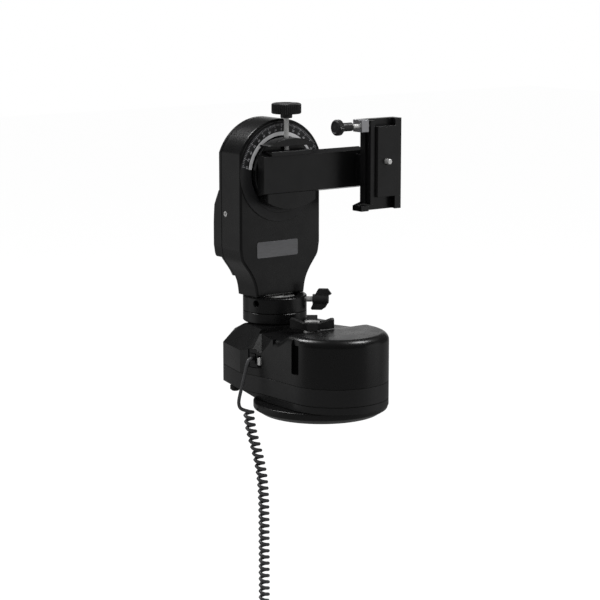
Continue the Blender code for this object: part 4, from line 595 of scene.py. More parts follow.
def curl_points():
    """The curly cord's centre line, from its straight start to its straight end."""
    start_angle = math.atan2(CURL_FRONT[1], CURL_FRONT[0])
    total = CURL_COUNT * CURL_POINTS
    helix = []
    for k in range(total + 1):
        turn = k / CURL_POINTS
        left = CURL_COUNT - turn
        radius = CURL_RADIUS * min(1.0, left / CURL_CLOSING) ** 0.7
        angle = start_angle + math.tau * turn
        centre = curl_centre(CURL_PITCH * turn)
        helix.append(centre + radius * Vector((math.cos(angle), math.sin(angle), 0.0)))
    slope = CURL_PITCH / (math.tau * CURL_RADIUS)
    heading = Vector((-CURL_FRONT[1], CURL_FRONT[0], -slope)).normalized()
    start = helix[0] - heading * (1.3 * CORD_DIAMETER)
    tail = [helix[-1] - UP * (CORD_TAIL * share) for share in (0.35, 0.7, 1.0)]
    return [start] + helix + tail, heading


def arm_outline(foot, steps):
    """The arm's face outline in X and Z, counterclockwise, from its foot upward."""
    rise = SHOULDER_Z - COLLAR_TOP_Z
    spread = ARM_HALF_WIDTH - NECK_HALF_WIDTH
    curve = []
    for height, share in SHOULDER_CURVE:
        curve.append((NECK_HALF_WIDTH + spread * share, COLLAR_TOP_Z + GAP + rise * height))
    if steps > COARSE:
        curve = [(p.x, p.y) for p in smooth_route([(x, z, 0.0) for x, z in curve], 3.0)]
    start = float(np.interp(foot, [z for x, z in curve], [x for x, z in curve]))
    side = [(start, foot)] + [(x, z) for x, z in curve if z > foot + WALL]
    corner = math.degrees(math.acos(ARM_HALF_WIDTH / HEAD_RADIUS))
    head = arc((0.0, ALTITUDE_Z), HEAD_RADIUS, corner, 90.0, steps)
    half = side + head[:-1]
    return half + [(0.0, ALTITUDE_Z + HEAD_RADIUS)] + [(-x, z) for x, z in reversed(half)]


def in_arm_side(obj, sign):
    """Lay a piece built about Z into a side of the arm, where a cover screw sits."""
    turn = Matrix.Rotation(math.radians(90.0 * sign), 4, "Y")
    return shift(move(obj, turn), 0.0, COVER_SCREW_Y, COVER_SCREW_Z)


def cover_screw_shape(sign, growth, proud):
    """A countersunk screw in the arm's side; the hole is the same shape, a gap larger."""
    start = ARM_HALF_WIDTH - WALL - 2.0 - growth
    head = ARM_HALF_WIDTH - 1.2 - growth
    end = ARM_HALF_WIDTH + proud
    radius = COVER_SCREW_RADIUS + growth
    thread = 0.55 * radius
    screw = turned([(0.0, start), (thread, start), (thread, head - 1.0), (radius, head), (radius, end),
                    (0.0, end)], SCREW_ROUND)
    return in_arm_side(screw, sign)


def bulge(distance, front, steps):
    """The thick part at the back of the cover; the room inside it is the same shape, smaller."""
    outline = arm_outline(BULGE_FOOT_Z, steps)
    side = [(x, z) for x, z in outline if 0.0 < x and z < BULGE_CREST_Z]

    def section(top, edge, y):
        right = side + [(ARM_HALF_WIDTH, top)]
        outline = right + [(-x, z) for x, z in reversed(right)]
        return upright(inset(outline, distance + edge), y)

    middle = (ARM_BACK_Y + BULGE_BACK_Y) / 2.0
    crest_top = (BULGE_TOP_Z + BULGE_CREST_Z) / 2.0
    return loft([
        section(BULGE_TOP_Z, 0.0, front),
        section(BULGE_TOP_Z - 2.0, 0.0, ARM_BACK_Y - distance),
        section(crest_top, 0.0, middle + 2.0 - distance),
        section(BULGE_CREST_Z, 0.8, BULGE_BACK_Y - 2.0 - distance),
        section(BULGE_CREST_Z - 4.0, 4.0, BULGE_BACK_Y - distance),
    ])


# Camera

def make_camera():
    data = bpy.data.cameras.new("camera")
    data.lens = CAMERA_LENS
    data.sensor_width = CAMERA_SENSOR
    data.clip_start = 0.05
    camera = add_object("camera", data)
    camera.location = CAMERA_PLACE
    camera.rotation_euler = [math.radians(angle) for angle in CAMERA_TURN]
    bpy.context.scene.camera = camera


# Materials

class Graph:
    """The nodes of a material or a world, with helpers that finishes and studio share."""

    def __init__(self, owner):
        owner.use_nodes = True
        self.nodes = owner.node_tree.nodes
        self.links = owner.node_tree.links

    def feed(self, socket, value):
        """Give a socket another node's output, three numbers of a colour, or a plain value."""
        if isinstance(value, bpy.types.NodeSocket):
            self.links.new(value, socket)
        elif socket.type == "RGBA":
            socket.default_value = (*value, 1.0)
        else:
            socket.default_value = value

    def node(self, kind, **inputs):
        made = self.nodes.new(kind)
        for key, value in inputs.items():
            self.feed(made.inputs[key.replace("_", " ")], value)
        return made

    def maths(self, operation, *values, kind="ShaderNodeMath", result="Value"):
        made = self.nodes.new(kind)
        made.operation = operation
        for socket, value in zip(made.inputs, values):
            self.feed(socket, value)
        return made.outputs[result]

    def mix(self, factor, first, second, kind="RGBA"):
        """Blend two colours or two levels, each a socket or plain numbers."""
        made = self.nodes.new("ShaderNodeMix")
        made.data_type = kind
        *places, result = MIX_SOCKETS[kind]
        for place, value in zip(places, (factor, first, second)):
            self.feed(made.inputs[place], value)
        return made.outputs[result]

    def ramp(self, value, low, high, start=0.3, end=0.7):
        """Map a value between start and end to low and high."""
        made = self.node("ShaderNodeMapRange", Value=value, From_Min=start, From_Max=end, To_Min=low,
                         To_Max=high)
        return made.outputs["Result"]


class Look(Graph):
    """A finish: a node material with helpers for its textures."""

    def __init__(self, name, colour, roughness, metallic=0.0, specular=0.5):
        self.material = bpy.data.materials.new(name)
        super().__init__(self.material)
        self.shader = self.nodes["Principled BSDF"]
        self.set("Base Color", colour)
        self.set("Roughness", roughness)
        self.set("Metallic", metallic)
        self.set("Specular IOR Level", specular)
        self.place = self.nodes.new("ShaderNodeTexCoord").outputs["Object"]

    def set(self, name, value):
        self.feed(self.shader.inputs[name], value)

    def noise(self, scale, detail=2.0, roughness=0.5, place=None):
        made = self.node("ShaderNodeTexNoise", Vector=place or self.place, Scale=scale, Detail=detail,
                         Roughness=roughness)
        return made.outputs["Fac"]

    def streaks(self, *stretch, detail=3.0, roughness=0.6):
        """Noise stretched by a different amount along each axis."""
        place = self.node("ShaderNodeMapping", Vector=self.place, Scale=stretch).outputs["Vector"]
        return self.noise(1.0, detail, roughness, place)

    def blend(self, value, first, second, most=1.0, start=0.3, end=0.7):
        """Go from one colour towards another as a value rises from start to end."""
        return self.mix(self.ramp(value, 0.0, most, start, end), first, second)

    def finish(self, tone, rough, height, depth, strength):
        """Link the colour, the roughness between two ends, and the bump; returns the material."""
        self.set("Base Color", tone)
        if rough:
            self.set("Roughness", self.ramp(*rough))
        bump = self.node("ShaderNodeBump", Height=height, Strength=strength, Distance=depth)
        self.set("Normal", bump.outputs["Normal"])
        return self.material


def shade(colour, factor, lift=0.0):
    return tuple(c * factor + lift for c in colour)


def painted(name, colour, roughness, grain=2600.0, depth=0.00001):
    """A satin coat: fine orange peel, slow changes of tone, and faint rubbed patches."""
    look = Look(name, colour, roughness)
    lighter = shade(colour, 1.0 + MOTTLE, 0.0003)
    tone = look.blend(look.noise(22.0, 3.0), shade(colour, 1.0 - MOTTLE), lighter)
    tone = look.blend(look.noise(grain * 0.6, 1.0), tone, shade(colour, 1.5, 0.001), 0.2, 0.55, 0.8)
    rough = (look.noise(55.0, 4.0, 0.6), roughness - 0.03, roughness + 0.05)
    return look.finish(tone, rough, look.noise(grain, 2.0, 0.6), depth, 0.35)


def moulded(name, colour, roughness, scale=1500.0, depth=0.00003):
    """A moulded plastic with a spark-eroded texture."""
    look = Look(name, colour, roughness)
    cells = look.node("ShaderNodeTexVoronoi", Vector=look.place, Scale=scale)
    grain = look.noise(scale * 1.7, 3.0, 0.65)
    tone = look.blend(look.noise(70.0, 2.0), shade(colour, 0.82), shade(colour, 1.25, 0.001))
    height = look.maths("ADD", look.maths("MULTIPLY", cells.outputs["Distance"], 0.6), grain)
    return look.finish(tone, (grain, roughness - 0.07, roughness + 0.09), height, depth, 0.7)


def machined(name, colour, roughness, lines, metallic=1.0):
    """Bare or plated metal with fine lines across one axis, given by the stretch of its noise."""
    look = Look(name, colour, roughness, metallic)
    streak = look.streaks(*lines)
    tone = look.blend(look.noise(60.0, 2.0), shade(colour, 1.0 - MOTTLE), colour)
    tone = look.blend(streak, tone, shade(colour, 0.8), 0.5)
    return look.finish(tone, (streak, roughness - 0.06, roughness + 0.1), streak, 0.00002, 0.6)


def rubber(name, colour, roughness):
    look = Look(name, colour, roughness, specular=0.35)
    tone = look.blend(look.noise(160.0, 4.0, 0.7), colour, shade(colour, 1.0, 0.012), 1.0, 0.45, 0.8)
    rough = (look.noise(800.0), roughness - 0.06, roughness + 0.08)
    return look.finish(tone, rough, look.noise(1800.0, 2.0, 0.6), 0.00005, 0.7)


def threaded(name, colour, roughness, pitch, depth):
    """A turned metal whose bore carries a thread of the given pitch along Z, in metres."""
    look = Look(name, colour, roughness, 1.0)
    scale = math.tau / (20.0 * pitch)
    wave = look.node("ShaderNodeTexWave", Vector=look.place, Scale=scale, Distortion=0.0)
    wave.wave_type = "BANDS"
    wave.bands_direction = "Z"
    streak = look.streaks(90.0, 90.0, 4000.0)
    tone = look.blend(streak, colour, shade(colour, 0.7), 0.6)
    rough = (streak, roughness - 0.05, roughness + 0.1)
    return look.finish(tone, rough, wave.outputs["Fac"], depth, 0.9)


def cord_look():
    look = Look("cord_black", (0.03, 0.03, 0.032), 0.36)
    tone = look.blend(look.noise(130.0, 2.0), (0.045, 0.045, 0.047), (0.065, 0.065, 0.068))
    rough = (look.noise(240.0, 3.0, 0.6), 0.3, 0.46)
    return look.finish(tone, rough, look.noise(1400.0, 2.0), 0.00003, 0.6)


def felt_look():
    """Painted shade: a near-black matte sheet with next to no sheen, and short streaks that catch a little
    light.
    """
    look = Look("groove_painted_shade", (0.0008, 0.0008, 0.0009), 0.95, specular=0.03)
    shade_grain = look.streaks(3800.0, 3800.0, 900.0, detail=2.0, roughness=0.7)
    tone = look.blend(shade_grain, (0.0005, 0.0005, 0.0006), (0.0016, 0.0016, 0.0017))
    return look.finish(tone, None, shade_grain, 0.00004, 0.6)


def circuit_look():
    look = Look("board_green", (0.012, 0.11, 0.04), 0.35)
    grid = look.node("ShaderNodeTexBrick", Vector=look.place, Scale=260.0, Color1=(0.01, 0.1, 0.035),
                     Color2=(0.014, 0.13, 0.05), Mortar=(0.05, 0.2, 0.06))
    rough = (look.noise(300.0), 0.28, 0.5)
    return look.finish(grid.outputs["Color"], rough, grid.outputs["Fac"], 0.00004, 0.5)


def marks_look():
    """Pale printing ink for the circle's marks."""
    look = Look("circle_marks", (0.42, 0.42, 0.44), 0.5)
    worn = look.noise(700.0, 3.0, 0.7)
    tone = look.blend(worn, (0.62, 0.62, 0.64), (0.36, 0.36, 0.375), 0.7)
    return look.finish(tone, (worn, 0.42, 0.6), look.noise(2400.0), 0.00001, 0.5)


def band_look():
    """The circle's bright turned band, brushed around the altitude axis."""
    look = Look("circle_band", (0.68, 0.68, 0.69), 0.34, 0.1)
    centred = look.node("ShaderNodeMapping", Vector=look.place, Location=(0.0, 0.0, -ALTITUDE_Z * MM),
                        Scale=(1.0, 0.0, 1.0))
    radius = look.maths("LENGTH", centred.outputs["Vector"], kind=VECTOR_MATHS)
    noise = look.node("ShaderNodeTexNoise", Scale=1.0, Detail=2.0)
    noise.noise_dimensions = "1D"
    look.feed(noise.inputs["W"], look.maths("MULTIPLY", radius, 9000.0))
    lines = noise.outputs["Fac"]
    tone = look.blend(lines, (0.62, 0.62, 0.63), (0.74, 0.74, 0.75))
    return look.finish(tone, (lines, 0.22, 0.42), lines, 0.00001, 0.6)


def plate_look():
    """A bare label plate: brushed, grey and slightly uneven."""
    look = Look("label_plate", (0.165, 0.166, 0.17), 0.4, 0.3)
    streak = look.streaks(120.0, 1000.0, 5200.0)
    tone = look.blend(streak, (0.13, 0.131, 0.136), (0.2, 0.2, 0.207))
    return look.finish(tone, (streak, 0.33, 0.5), streak, 0.00001, 0.5)


LOOKS = {
    "casing_black": painted("casing_black", (0.0026, 0.0026, 0.0028), 0.27),
    "circle_black": painted("circle_black", (0.014, 0.014, 0.015), 0.36, 3200.0, 0.00002),
    "bracket_black": painted("bracket_black", (0.0038, 0.0038, 0.0041), 0.32, 3600.0, 0.000015),
    "knob_black": moulded("knob_black", (0.016, 0.016, 0.0165), 0.42),
    "port_black": moulded("port_black", (0.006, 0.006, 0.0064), 0.4, 2200.0),
    "cord_black": cord_look(),
    "foot_rubber": rubber("foot_rubber", (0.012, 0.012, 0.012), 0.78),
    "steel": machined("steel", (0.72, 0.72, 0.71), 0.24, (900.0, 900.0, 5000.0), 0.5),
    "brass": machined("brass", (0.72, 0.5, 0.2), 0.3, (1200.0, 1200.0, 3000.0)),
    "aluminium": machined("aluminium", (0.62, 0.62, 0.64), 0.36, (300.0, 3000.0, 3000.0)),
    "motor_grey": machined("motor_grey", (0.27, 0.28, 0.3), 0.34, (2600.0, 500.0, 500.0), 0.9),
    "board_green": circuit_look(),
}
LOW_CASING = painted("casing_black_low", (0.009, 0.009, 0.0095), 0.4)
THREAD = threaded("thread_brass", (0.72, 0.5, 0.2), 0.3, THREAD_PITCH * MM, 0.0004)


# Finishing pieces

def soften(obj, width, segments=2, angle=32.0):
    """Round the edges that turn by more than an angle, in degrees."""
    weld(obj.data)
    bm = bmesh.new()
    bm.from_mesh(obj.data)
    bmesh.ops.dissolve_limit(bm, angle_limit=math.radians(0.4), verts=bm.verts, edges=bm.edges)
    bm.to_mesh(obj.data)
    bm.free()
    modifier = obj.modifiers.new("soften", "BEVEL")
    modifier.limit_method = "ANGLE"
    modifier.angle_limit = math.radians(angle)
    modifier.width = width
    modifier.segments = segments
    modifier.use_clamp_overlap = True
    modifier.miter_outer = "MITER_ARC"
    return apply_modifiers(obj)


def put(obj, name, look, body, replaced=()):
    """Size a piece in metres, shade it and let it ride on its body."""
    obj.name = name
    obj.data.name = name
    obj.data.transform(Matrix.Scale(MM, 4))
    obj.data.materials.clear()
    obj.data.materials.append(look)
    obj.data.shade_smooth()
    obj.data.set_sharp_from_angle(angle=math.radians(SMOOTH_ANGLE))
    modifier = obj.modifiers.new("weigh", "WEIGHTED_NORMAL")
    modifier.keep_sharp = True
    modifier.weight = 60
    apply_modifiers(obj)
    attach(obj, body)
    if replaced:
        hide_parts(*replaced)
    return obj


def stand(obj, node, look=None):
    """Let a finer piece stand for a CAD node, with that node's body and its finish, or a shade of it."""
    slot = SLOT_OF[node]
    return put(obj, "fine_" + node, look or LOOKS[slot], BODY_OF[node], (node,))


def copy_of(node):
    """A copy of a CAD node's mesh in millimetres, with its split corners joined."""
    mesh = frame["nodes"][node].data.copy()
    mesh.transform(Matrix.Scale(1.0 / MM, 4))
    weld(mesh)
    return add_object("piece", mesh)


def finer(width, segments, angle, *nodes):
    """Let copies of CAD nodes with softened edges stand for them."""
    for node in nodes:
        stand(soften(copy_of(node), width, segments, angle), node)


# Cord

def eased(line, first, last, rounds):
    """Soften the bends of one stretch of the cord, with both its ends held."""
    line = list(line)
    for _ in range(rounds):
        for k in range(first, last):
            line[k] = 0.25 * line[k - 1] + 0.5 * line[k] + 0.25 * line[k + 1]
    return line


def make_cord():
    """The whole cord as one curve: out of the port, down, and through the curls to the far plug."""
    points, heading = curl_points()
    port_frame = side_frame(PORT_Y, PORT_Z)
    exit_point = port_frame @ Vector((0.0, PLUG_PROUD + GAP, 0.0))
    straight = port_frame @ Vector((0.0, PLUG_PROUD + GAP + CORD_DIAMETER, 0.0))
    join_end = points[0] - heading * GAP
    join_start = join_end - heading * CORD_DIAMETER
    route = [exit_point, straight] + [Vector(point) for point in LEAD_ROUTE] + [join_start, join_end]
    lead = smooth_route(route, CORD_STEP)[:-1]
    line = lead + points + [points[-1] - UP * GAP]
    line = eased(line, 1, len(lead) // 3, 3)
    line = eased(line, len(lead) - 10, len(lead) + 1, 4)
    curve = bpy.data.curves.new("handset_cord", "CURVE")
    curve.dimensions = "3D"
    curve.bevel_depth = CORD_DIAMETER / 2.0 * MM
    curve.bevel_resolution = 5
    curve.use_fill_caps = True
    spline = curve.splines.new("POLY")
    spline.points.add(len(line) - 1)
    for point, position in zip(spline.points, line):
        point.co = (*(position * MM), 1.0)
    spline.use_smooth = True
    curve.materials.append(LOOKS["cord_black"])
    obj = add_object("handset_cord", curve)
    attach(obj, "azimuth_base")
    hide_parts("cord_lead", "cord_curls")
    length = sum((b - a).length for a, b in zip(line, line[1:])) * MM
    print("cord length in metres:", round(length, 4))


# Base

def make_flange():
    """The tripod flange, with four countersunk screws in its underside."""
    bore = INSERT_RADIUS + GAP
    edge = FLANGE_RADIUS
    top = FLANGE_HEIGHT
    profile = [(bore, 0.6), (bore + 0.6, 0.0), (FLANGE_FOOT_RADIUS - 0.6, 0.0), (FLANGE_FOOT_RADIUS, 0.2),
               (edge - 0.5, FLANGE_CHAMFER - 0.6), (edge, FLANGE_CHAMFER + 0.4)]
    for degrees in (0, 22, 45, 68, 90):
        angle = math.radians(degrees)
        profile.append((edge - 1.0 + math.cos(angle), top - 1.0 + math.sin(angle)))
    flange = turned(profile + [(bore + 0.5, top), (bore, top - 0.5)], LARGE_ROUND)
    places = arc((0.0, 0.0), FLANGE_SCREW_CIRCLE, 45.0, 315.0, 3)
    for number, (x, y) in enumerate(places, 1):
        hole = [(0.0, -1.0), (4.6, -1.0), (4.6, 0.8), (2.6, 2.8), (2.6, 3.6), (0.0, 3.6)]
        cut(flange, shift(turned(hole, SMALL_ROUND), x, y, 0.0))
        head = [(0.0, 0.3), (3.9, 0.3), (4.2, 0.6), (4.3, 0.95), (2.5, 2.7), (2.5, 3.4), (0.0, 3.4)]
        screw = cut(turned(head, SMALL_ROUND), prism(polygon(1.5, 6), 0.0, 1.9))
        put(shift(screw, x, y, 0.0), f"flange_screw_{number}", LOOKS["steel"], "tripod_side")
    stand(flange, "tripod_flange")


def base_outline(*corners):
    """The drum's front arc, carried back through corners on both sides."""
    return mirrored(arc((0.0, DRUM_CENTRE_Y), DRUM_RADIUS, -90.0, 0.0, DRUM_FINE) + list(corners))


def make_base_plates():
    side = (BOX_CORNER_SIDE[0] - 1.0, BOX_CORNER_SIDE[1] - 3.0)
    top = base_outline(BOX_CORNER_FRONT, side, PLATE_REAR)
    low_front = (BOX_CORNER_FRONT[0] - 2.0, BOX_CORNER_FRONT[1] - 3.0)
    low_side = (side[0] - PLATE_CHAMFER, side[1] - PLATE_CHAMFER)
    low_rear = (PLATE_REAR[0] - PLATE_CHAMFER, PLATE_REAR[1] - PLATE_CHAMFER)
    bottom = base_outline(low_front, low_side, low_rear)
    plate = loft([flat(bottom, PLATE_Z), flat(top, SEAM_LOW_Z - GAP)])
    join(plate, rod(HUB_RADIUS, PLATE_Z + 1.0, HUB_TOP_Z, HUB_ROUND))
    cut(plate, rod(BEARING_OUTER_RADIUS + GAP, PLATE_Z - 1.0, HUB_TOP_Z + 1.0, HUB_ROUND))
    stand(soften(plate, 0.5), "base_bottom_plate", LOW_CASING)

    outline = base_outline(BOX_CORNER_FRONT, BOX_CORNER_SIDE, BOX_CORNER_REAR, BOX_CORNER_BACK)
    casing = prism(outline, SEAM_LOW_Z, SEAM_HIGH_Z - GAP)
    cut(casing, prism(inset(outline, WALL), SEAM_LOW_Z + WALL, SEAM_HIGH_Z + PAST))
    cut(casing, rod(HUB_RADIUS + GAP, SEAM_LOW_Z - PAST, SEAM_HIGH_Z, HUB_ROUND))
    stand(soften(casing, 0.55), "base_lower_casing", LOW_CASING)


def casing_form(box, distance, low, steps, edge_steps):
    """Join a box to its drum, once the valley and the back slope are cut from the box."""
    cut(box, valley_tool(distance))
    cut(box, back_tool(distance))
    return join(drum(distance, low, steps, edge_steps), box)


def make_casing():
    box = soften(loft(box_rings(0.0, SEAM_HIGH_Z)), 0.01)
    shell = casing_form(box, 0.0, SEAM_HIGH_Z, DRUM_FINE, 10)
    room = loft(box_rings(WALL, SEAM_HIGH_Z - PAST))
    cut(shell, casing_form(room, WALL, SEAM_HIGH_Z - PAST, COARSE, 3))
    boss = rod(BOSS_RADIUS, PEDESTAL_Z - 2.0 * WALL, PEDESTAL_Z, HUB_ROUND)
    join(shell, shift(boss, 0.0, COLLAR_Y, 0.0))
    for sign in (-1.0, 1.0):
        cut(shell, shift(groove_tool(), sign * (DRUM_RADIUS + 3.0 - GROOVE_DEPTH), GROOVE_Y, 0.0))
    holes = ((LOCK_STUD_RADIUS + GAP, VALLEY_Z, LOCK_Y), (POST_BORE_RADIUS, PEDESTAL_Z, COLLAR_Y))
    for radius, top, y in holes:
        cut(shell, shift(rod(radius, top - 2.0 * PAST, top + PAST, BORE_ROUND), 0.0, y, 0.0))
    for width, height, y, z in ((SOCKET_WIDTH, SOCKET_HEIGHT, PORT_Y, PORT_Z),
                                (SWITCH_WIDTH, SWITCH_HEIGHT, SWITCH_Y, SWITCH_Z)):
        half = width / 2.0 + GAP
        tall = height / 2.0 + GAP
        cut(shell, move(block((-half, -12.0, -tall), (half, 12.0, tall)), side_frame(y, z)))
    stand(soften(shell, 0.7, 3, 24.0), "base_upper_casing")


def groove_tool():
    """A slot cutter with rounded corners at its foot."""
    half = GROOVE_WIDTH / 2.0
    centre = half - GROOVE_CORNER
    height = GROOVE_FLOOR_Z + GROOVE_CORNER
    foot = arc((-centre, height), GROOVE_CORNER, 180.0, 270.0, 5)
    foot += arc((centre, height), GROOVE_CORNER, 270.0, 360.0, 5)
    outline = [(-half, DECK_Z + PAST)] + foot + [(half, DECK_Z + PAST)]
    return loft([[(x, y, z) for y, z in outline] for x in (-3.0, 3.0)])


def make_groove_strips():
    """A near-black sheet on the floor of each groove, up to where the drum's edge turns: painted shade for
    the dark inside of the groove.
    """
    half = GROOVE_WIDTH / 2.0 - 0.25
    floor = DRUM_RADIUS - GROOVE_DEPTH
    low = (floor - 0.1, GROOVE_Y - half, GROOVE_FLOOR_Z + 0.4)
    high = (floor + 0.35, GROOVE_Y + half, DECK_Z - DRUM_EDGE)
    # Painted shade: a near-black matte sheet on each groove's floor darkens the groove.
    painted_shade = felt_look()
    for side in ("left", "right"):
        strip = block(low, high)
        if side == "left":
            move(strip, Matrix.Rotation(math.pi, 4, "Z"))
            shift(strip, 0.0, 2.0 * GROOVE_Y, 0.0)
        put(soften(strip, 0.12), "groove_shade_strip_" + side, painted_shade, "azimuth_base")


def make_collar():
    place = (0.0, COLLAR_Y, 0.0)
    radius = COLLAR_RADIUS
    foot = PEDESTAL_Z + GAP
    bore = POST_FLANGE_RADIUS + GAP
    seam = COLLAR_SEAM_Z - GAP
    base = turned([(bore, foot), (radius - 1.2, foot), (radius, foot + 1.2), (radius, seam - 0.4),
                   (radius - 0.4, seam), (bore, seam)], LARGE_ROUND)
    stand(shift(base, *place), "collar_base")
    seam = COLLAR_SEAM_Z
    step = seam + 8.0
    bore = POST_RADIUS + GAP + BUSH_WALL + GAP
    room = CAP_RADIUS + GAP + ARM_PAD_LENGTH + GAP
    edge = arc((radius - COLLAR_EDGE, COLLAR_TOP_Z - COLLAR_EDGE), COLLAR_EDGE, 0.0, 90.0, 6)
    profile = [(bore, seam), (radius - 0.4, seam), (radius, seam + 0.4)] + edge
    profile += [(room, COLLAR_TOP_Z), (room, step), (bore, step)]
    arm_collar = turned(profile, LARGE_ROUND)
    bolt_bore = rod(ARM_LOCK_RADIUS + GAP, 0.0, radius + PAST, SCREW_ROUND)
    cut(arm_collar, move(bolt_bore, radial_frame(ARM_LOCK_ANGLE, ARM_LOCK_Z)))
    hole = turned([
        (0.0, room + 2.5), (SET_HOLE_RADIUS, room + 2.5), (SET_HOLE_RADIUS, radius - 1.6),
        (SET_HOLE_RIM_RADIUS, radius + 0.2), (SET_HOLE_RIM_RADIUS, radius + 3.0), (0.0, radius + 3.0),
    ], BORE_ROUND)
    cut(arm_collar, move(hole, radial_frame(SET_HOLE_ANGLE, ARM_LOCK_Z - 1.0)))
    stand(shift(soften(arm_collar, 0.25), *place), "arm_collar")


# Arm

def edge_rings(outline, face, inward):
    """Rings from a flat face round its rounded edge to the full outline; inward is 1 or -1 along Y."""
    rings = []
    for k in range(EDGE_STEPS + 1):
        angle = math.radians(90.0 * k / EDGE_STEPS)
        line = inset(outline, ARM_EDGE * (1.0 - math.sin(angle)) + 0.001)
        rings.append(upright(line, face + inward * ARM_EDGE * (1.0 - math.cos(angle))))
    return rings


def make_arm_shell():
    outline = arm_outline(COLLAR_TOP_Z + GAP, ARM_FINE)
    rings = edge_rings(outline, ARM_FACE_Y, 1.0)
    rings += [upright(outline, ARM_SEAM_Y - 0.5), upright(inset(outline, 0.5), ARM_SEAM_Y)]
    shell = loft(rings)
    face = ARM_FACE_Y + WALL
    cut(shell, slab(inset(arm_outline(COVER_FOOT_Z + WALL, COARSE), WALL), face, ARM_SEAM_Y + PAST))
    neck = inset(arm_outline(COLLAR_TOP_Z + GAP, COARSE), WALL)
    neck = [(x, max(z, CAVITY_FLOOR_Z)) for x, z in neck if z < COVER_FOOT_Z + 8.0]
    cut(shell, slab(neck, face, ARM_SEAM_Y - WALL))
    shaft_bore = rod(SHAFT_RADIUS + GAP, ARM_FACE_Y - PAST, face + PAST, SHAFT_ROUND)
    cut(shell, along_y(shaft_bore, 0.0, ALTITUDE_Z))
    post_bore = rod(POST_BORE_RADIUS, COLLAR_TOP_Z - 2.0, CAVITY_FLOOR_Z + 4.0, SCREW_ROUND)
    cut(shell, shift(post_bore, 0.0, COLLAR_Y, 0.0))
    for sign in (-1.0, 1.0):
        cut(shell, cover_screw_shape(sign, GAP, 4.0))
    stand(shell, "arm_front_shell")


def make_arm_cover():
    outline = arm_outline(COVER_FOOT_Z, ARM_FINE)
    front = ARM_SEAM_Y + GAP
    rings = [upright(inset(outline, 0.5), front), upright(outline, front + 0.5)]
    cover = loft(rings + edge_rings(outline, ARM_BACK_Y, -1.0)[::-1])
    join(cover, soften(bulge(0.0, front + 1.0, ARM_FINE), 2.0, 4, 12.0))
    cut(cover, slab(inset(arm_outline(COVER_FOOT_Z, COARSE), WALL), front - PAST, ARM_BACK_Y - WALL))
    cut(cover, bulge(WALL, front - 4.0, COARSE))
    stand(cover, "arm_rear_cover")
    for side, sign in (("left", -1.0), ("right", 1.0)):
        socket = prism(polygon(1.45, 6), ARM_HALF_WIDTH - 2.2, ARM_HALF_WIDTH + 2.0)
        screw = cut(cover_screw_shape(sign, 0.0, -0.4), in_arm_side(socket, sign))
        stand(soften(screw, 0.2), "arm_cover_screw_" + side)


def label_outline(grow):
    """The label's rounded outline, counterclockwise and larger all round by a distance."""
    left = LABEL_X[0] - grow + LABEL_CORNER
    right = LABEL_X[1] + grow - LABEL_CORNER
    low = LABEL_Z[0] - grow + LABEL_CORNER
    high = LABEL_Z[1] + grow - LABEL_CORNER
    corners = ((right, low), (right, high), (left, high), (left, low))
    result = []
    for centre, start in zip(corners, (-90.0, 0.0, 90.0, 180.0)):
        result += arc(centre, LABEL_CORNER, start, start + 90.0, 6)
    return result


def make_label():
    """A bare plate where the real head carries its data."""
    levels = ((0.0, 0.02), (0.0, 0.45), (-0.25, 0.6))
    plate = loft([upright(label_outline(grow), ARM_FACE_Y - proud) for grow, proud in levels])
    put(plate, "label_plate", plate_look(), "arm")


# Altitude circle; a flat dial has angles from +X towards +Z, heights along Y and its centre at zero

def put_on_arm(obj, name, look, place=DIAL_PLACE):
    put(move(obj, place), name, look, "arm")


def make_circle():
    """The setting circle: a satin ring, a bright band, and the degrees marked along its upper half."""
    back = -GAP
    front = -CIRCLE_THICKNESS - GAP
    outer = CIRCLE_OUTER_RADIUS
    ring = turned([(CIRCLE_BAND_RADIUS, front), (outer - 0.4, front), (outer, front + 0.4), (outer, back),
                   (CIRCLE_BAND_RADIUS, back)], DIAL_ROUND)
    stand(along_y(shift(ring, 0.0, 0.0, ARM_FACE_Y), 0.0, ALTITUDE_Z), "setting_circle")
    start = 90.0 - DIAL_SPAN
    end = 90.0 + DIAL_SPAN
    put_on_arm(band_arc(front - BAND_EDGE, back, start, end), "circle_band", band_look())
    put_on_arm(band_arc(front, back, end, start + 360.0), "circle_lower_band", LOOKS["circle_black"])
    marks = bmesh.new()
    for degree in range(90 - DIAL_MARKS, 91 + DIAL_MARKS, 2):
        length, width = (4.6, 0.34) if degree % 10 == 0 else (3.0, 0.22)
        add_mark(marks, outer - length, outer - 0.9, width, math.radians(degree), front)
    ink = marks_look()
    put_on_arm(solid(marks), "circle_marks", ink)
    for degree in range(90 - DIAL_MARKS, 91 + DIAL_MARKS, 10):
        place = number_place(math.radians(degree), front)
        put_on_arm(dial_number(str(abs(90 - degree))), f"circle_number_{degree}", ink, place)


def band_arc(front, back, start, end):
    """A part of the circle's inner band with narrow chamfers, between two angles in degrees."""
    inner = CIRCLE_INNER_RADIUS
    outer = CIRCLE_BAND_RADIUS
    edge = BAND_EDGE
    profile = [(inner, back), (inner, front + edge), (inner + edge, front), (outer - edge, front),
               (outer, front + edge), (outer, back)]
    steps = 120
    start = math.radians(start)
    end = math.radians(end)
    rings = []
    for k in range(steps + 1):
        angle = start + (end - start) * k / steps
        rings.append([(r * math.cos(angle), y, r * math.sin(angle)) for r, y in profile])
    return loft(rings)


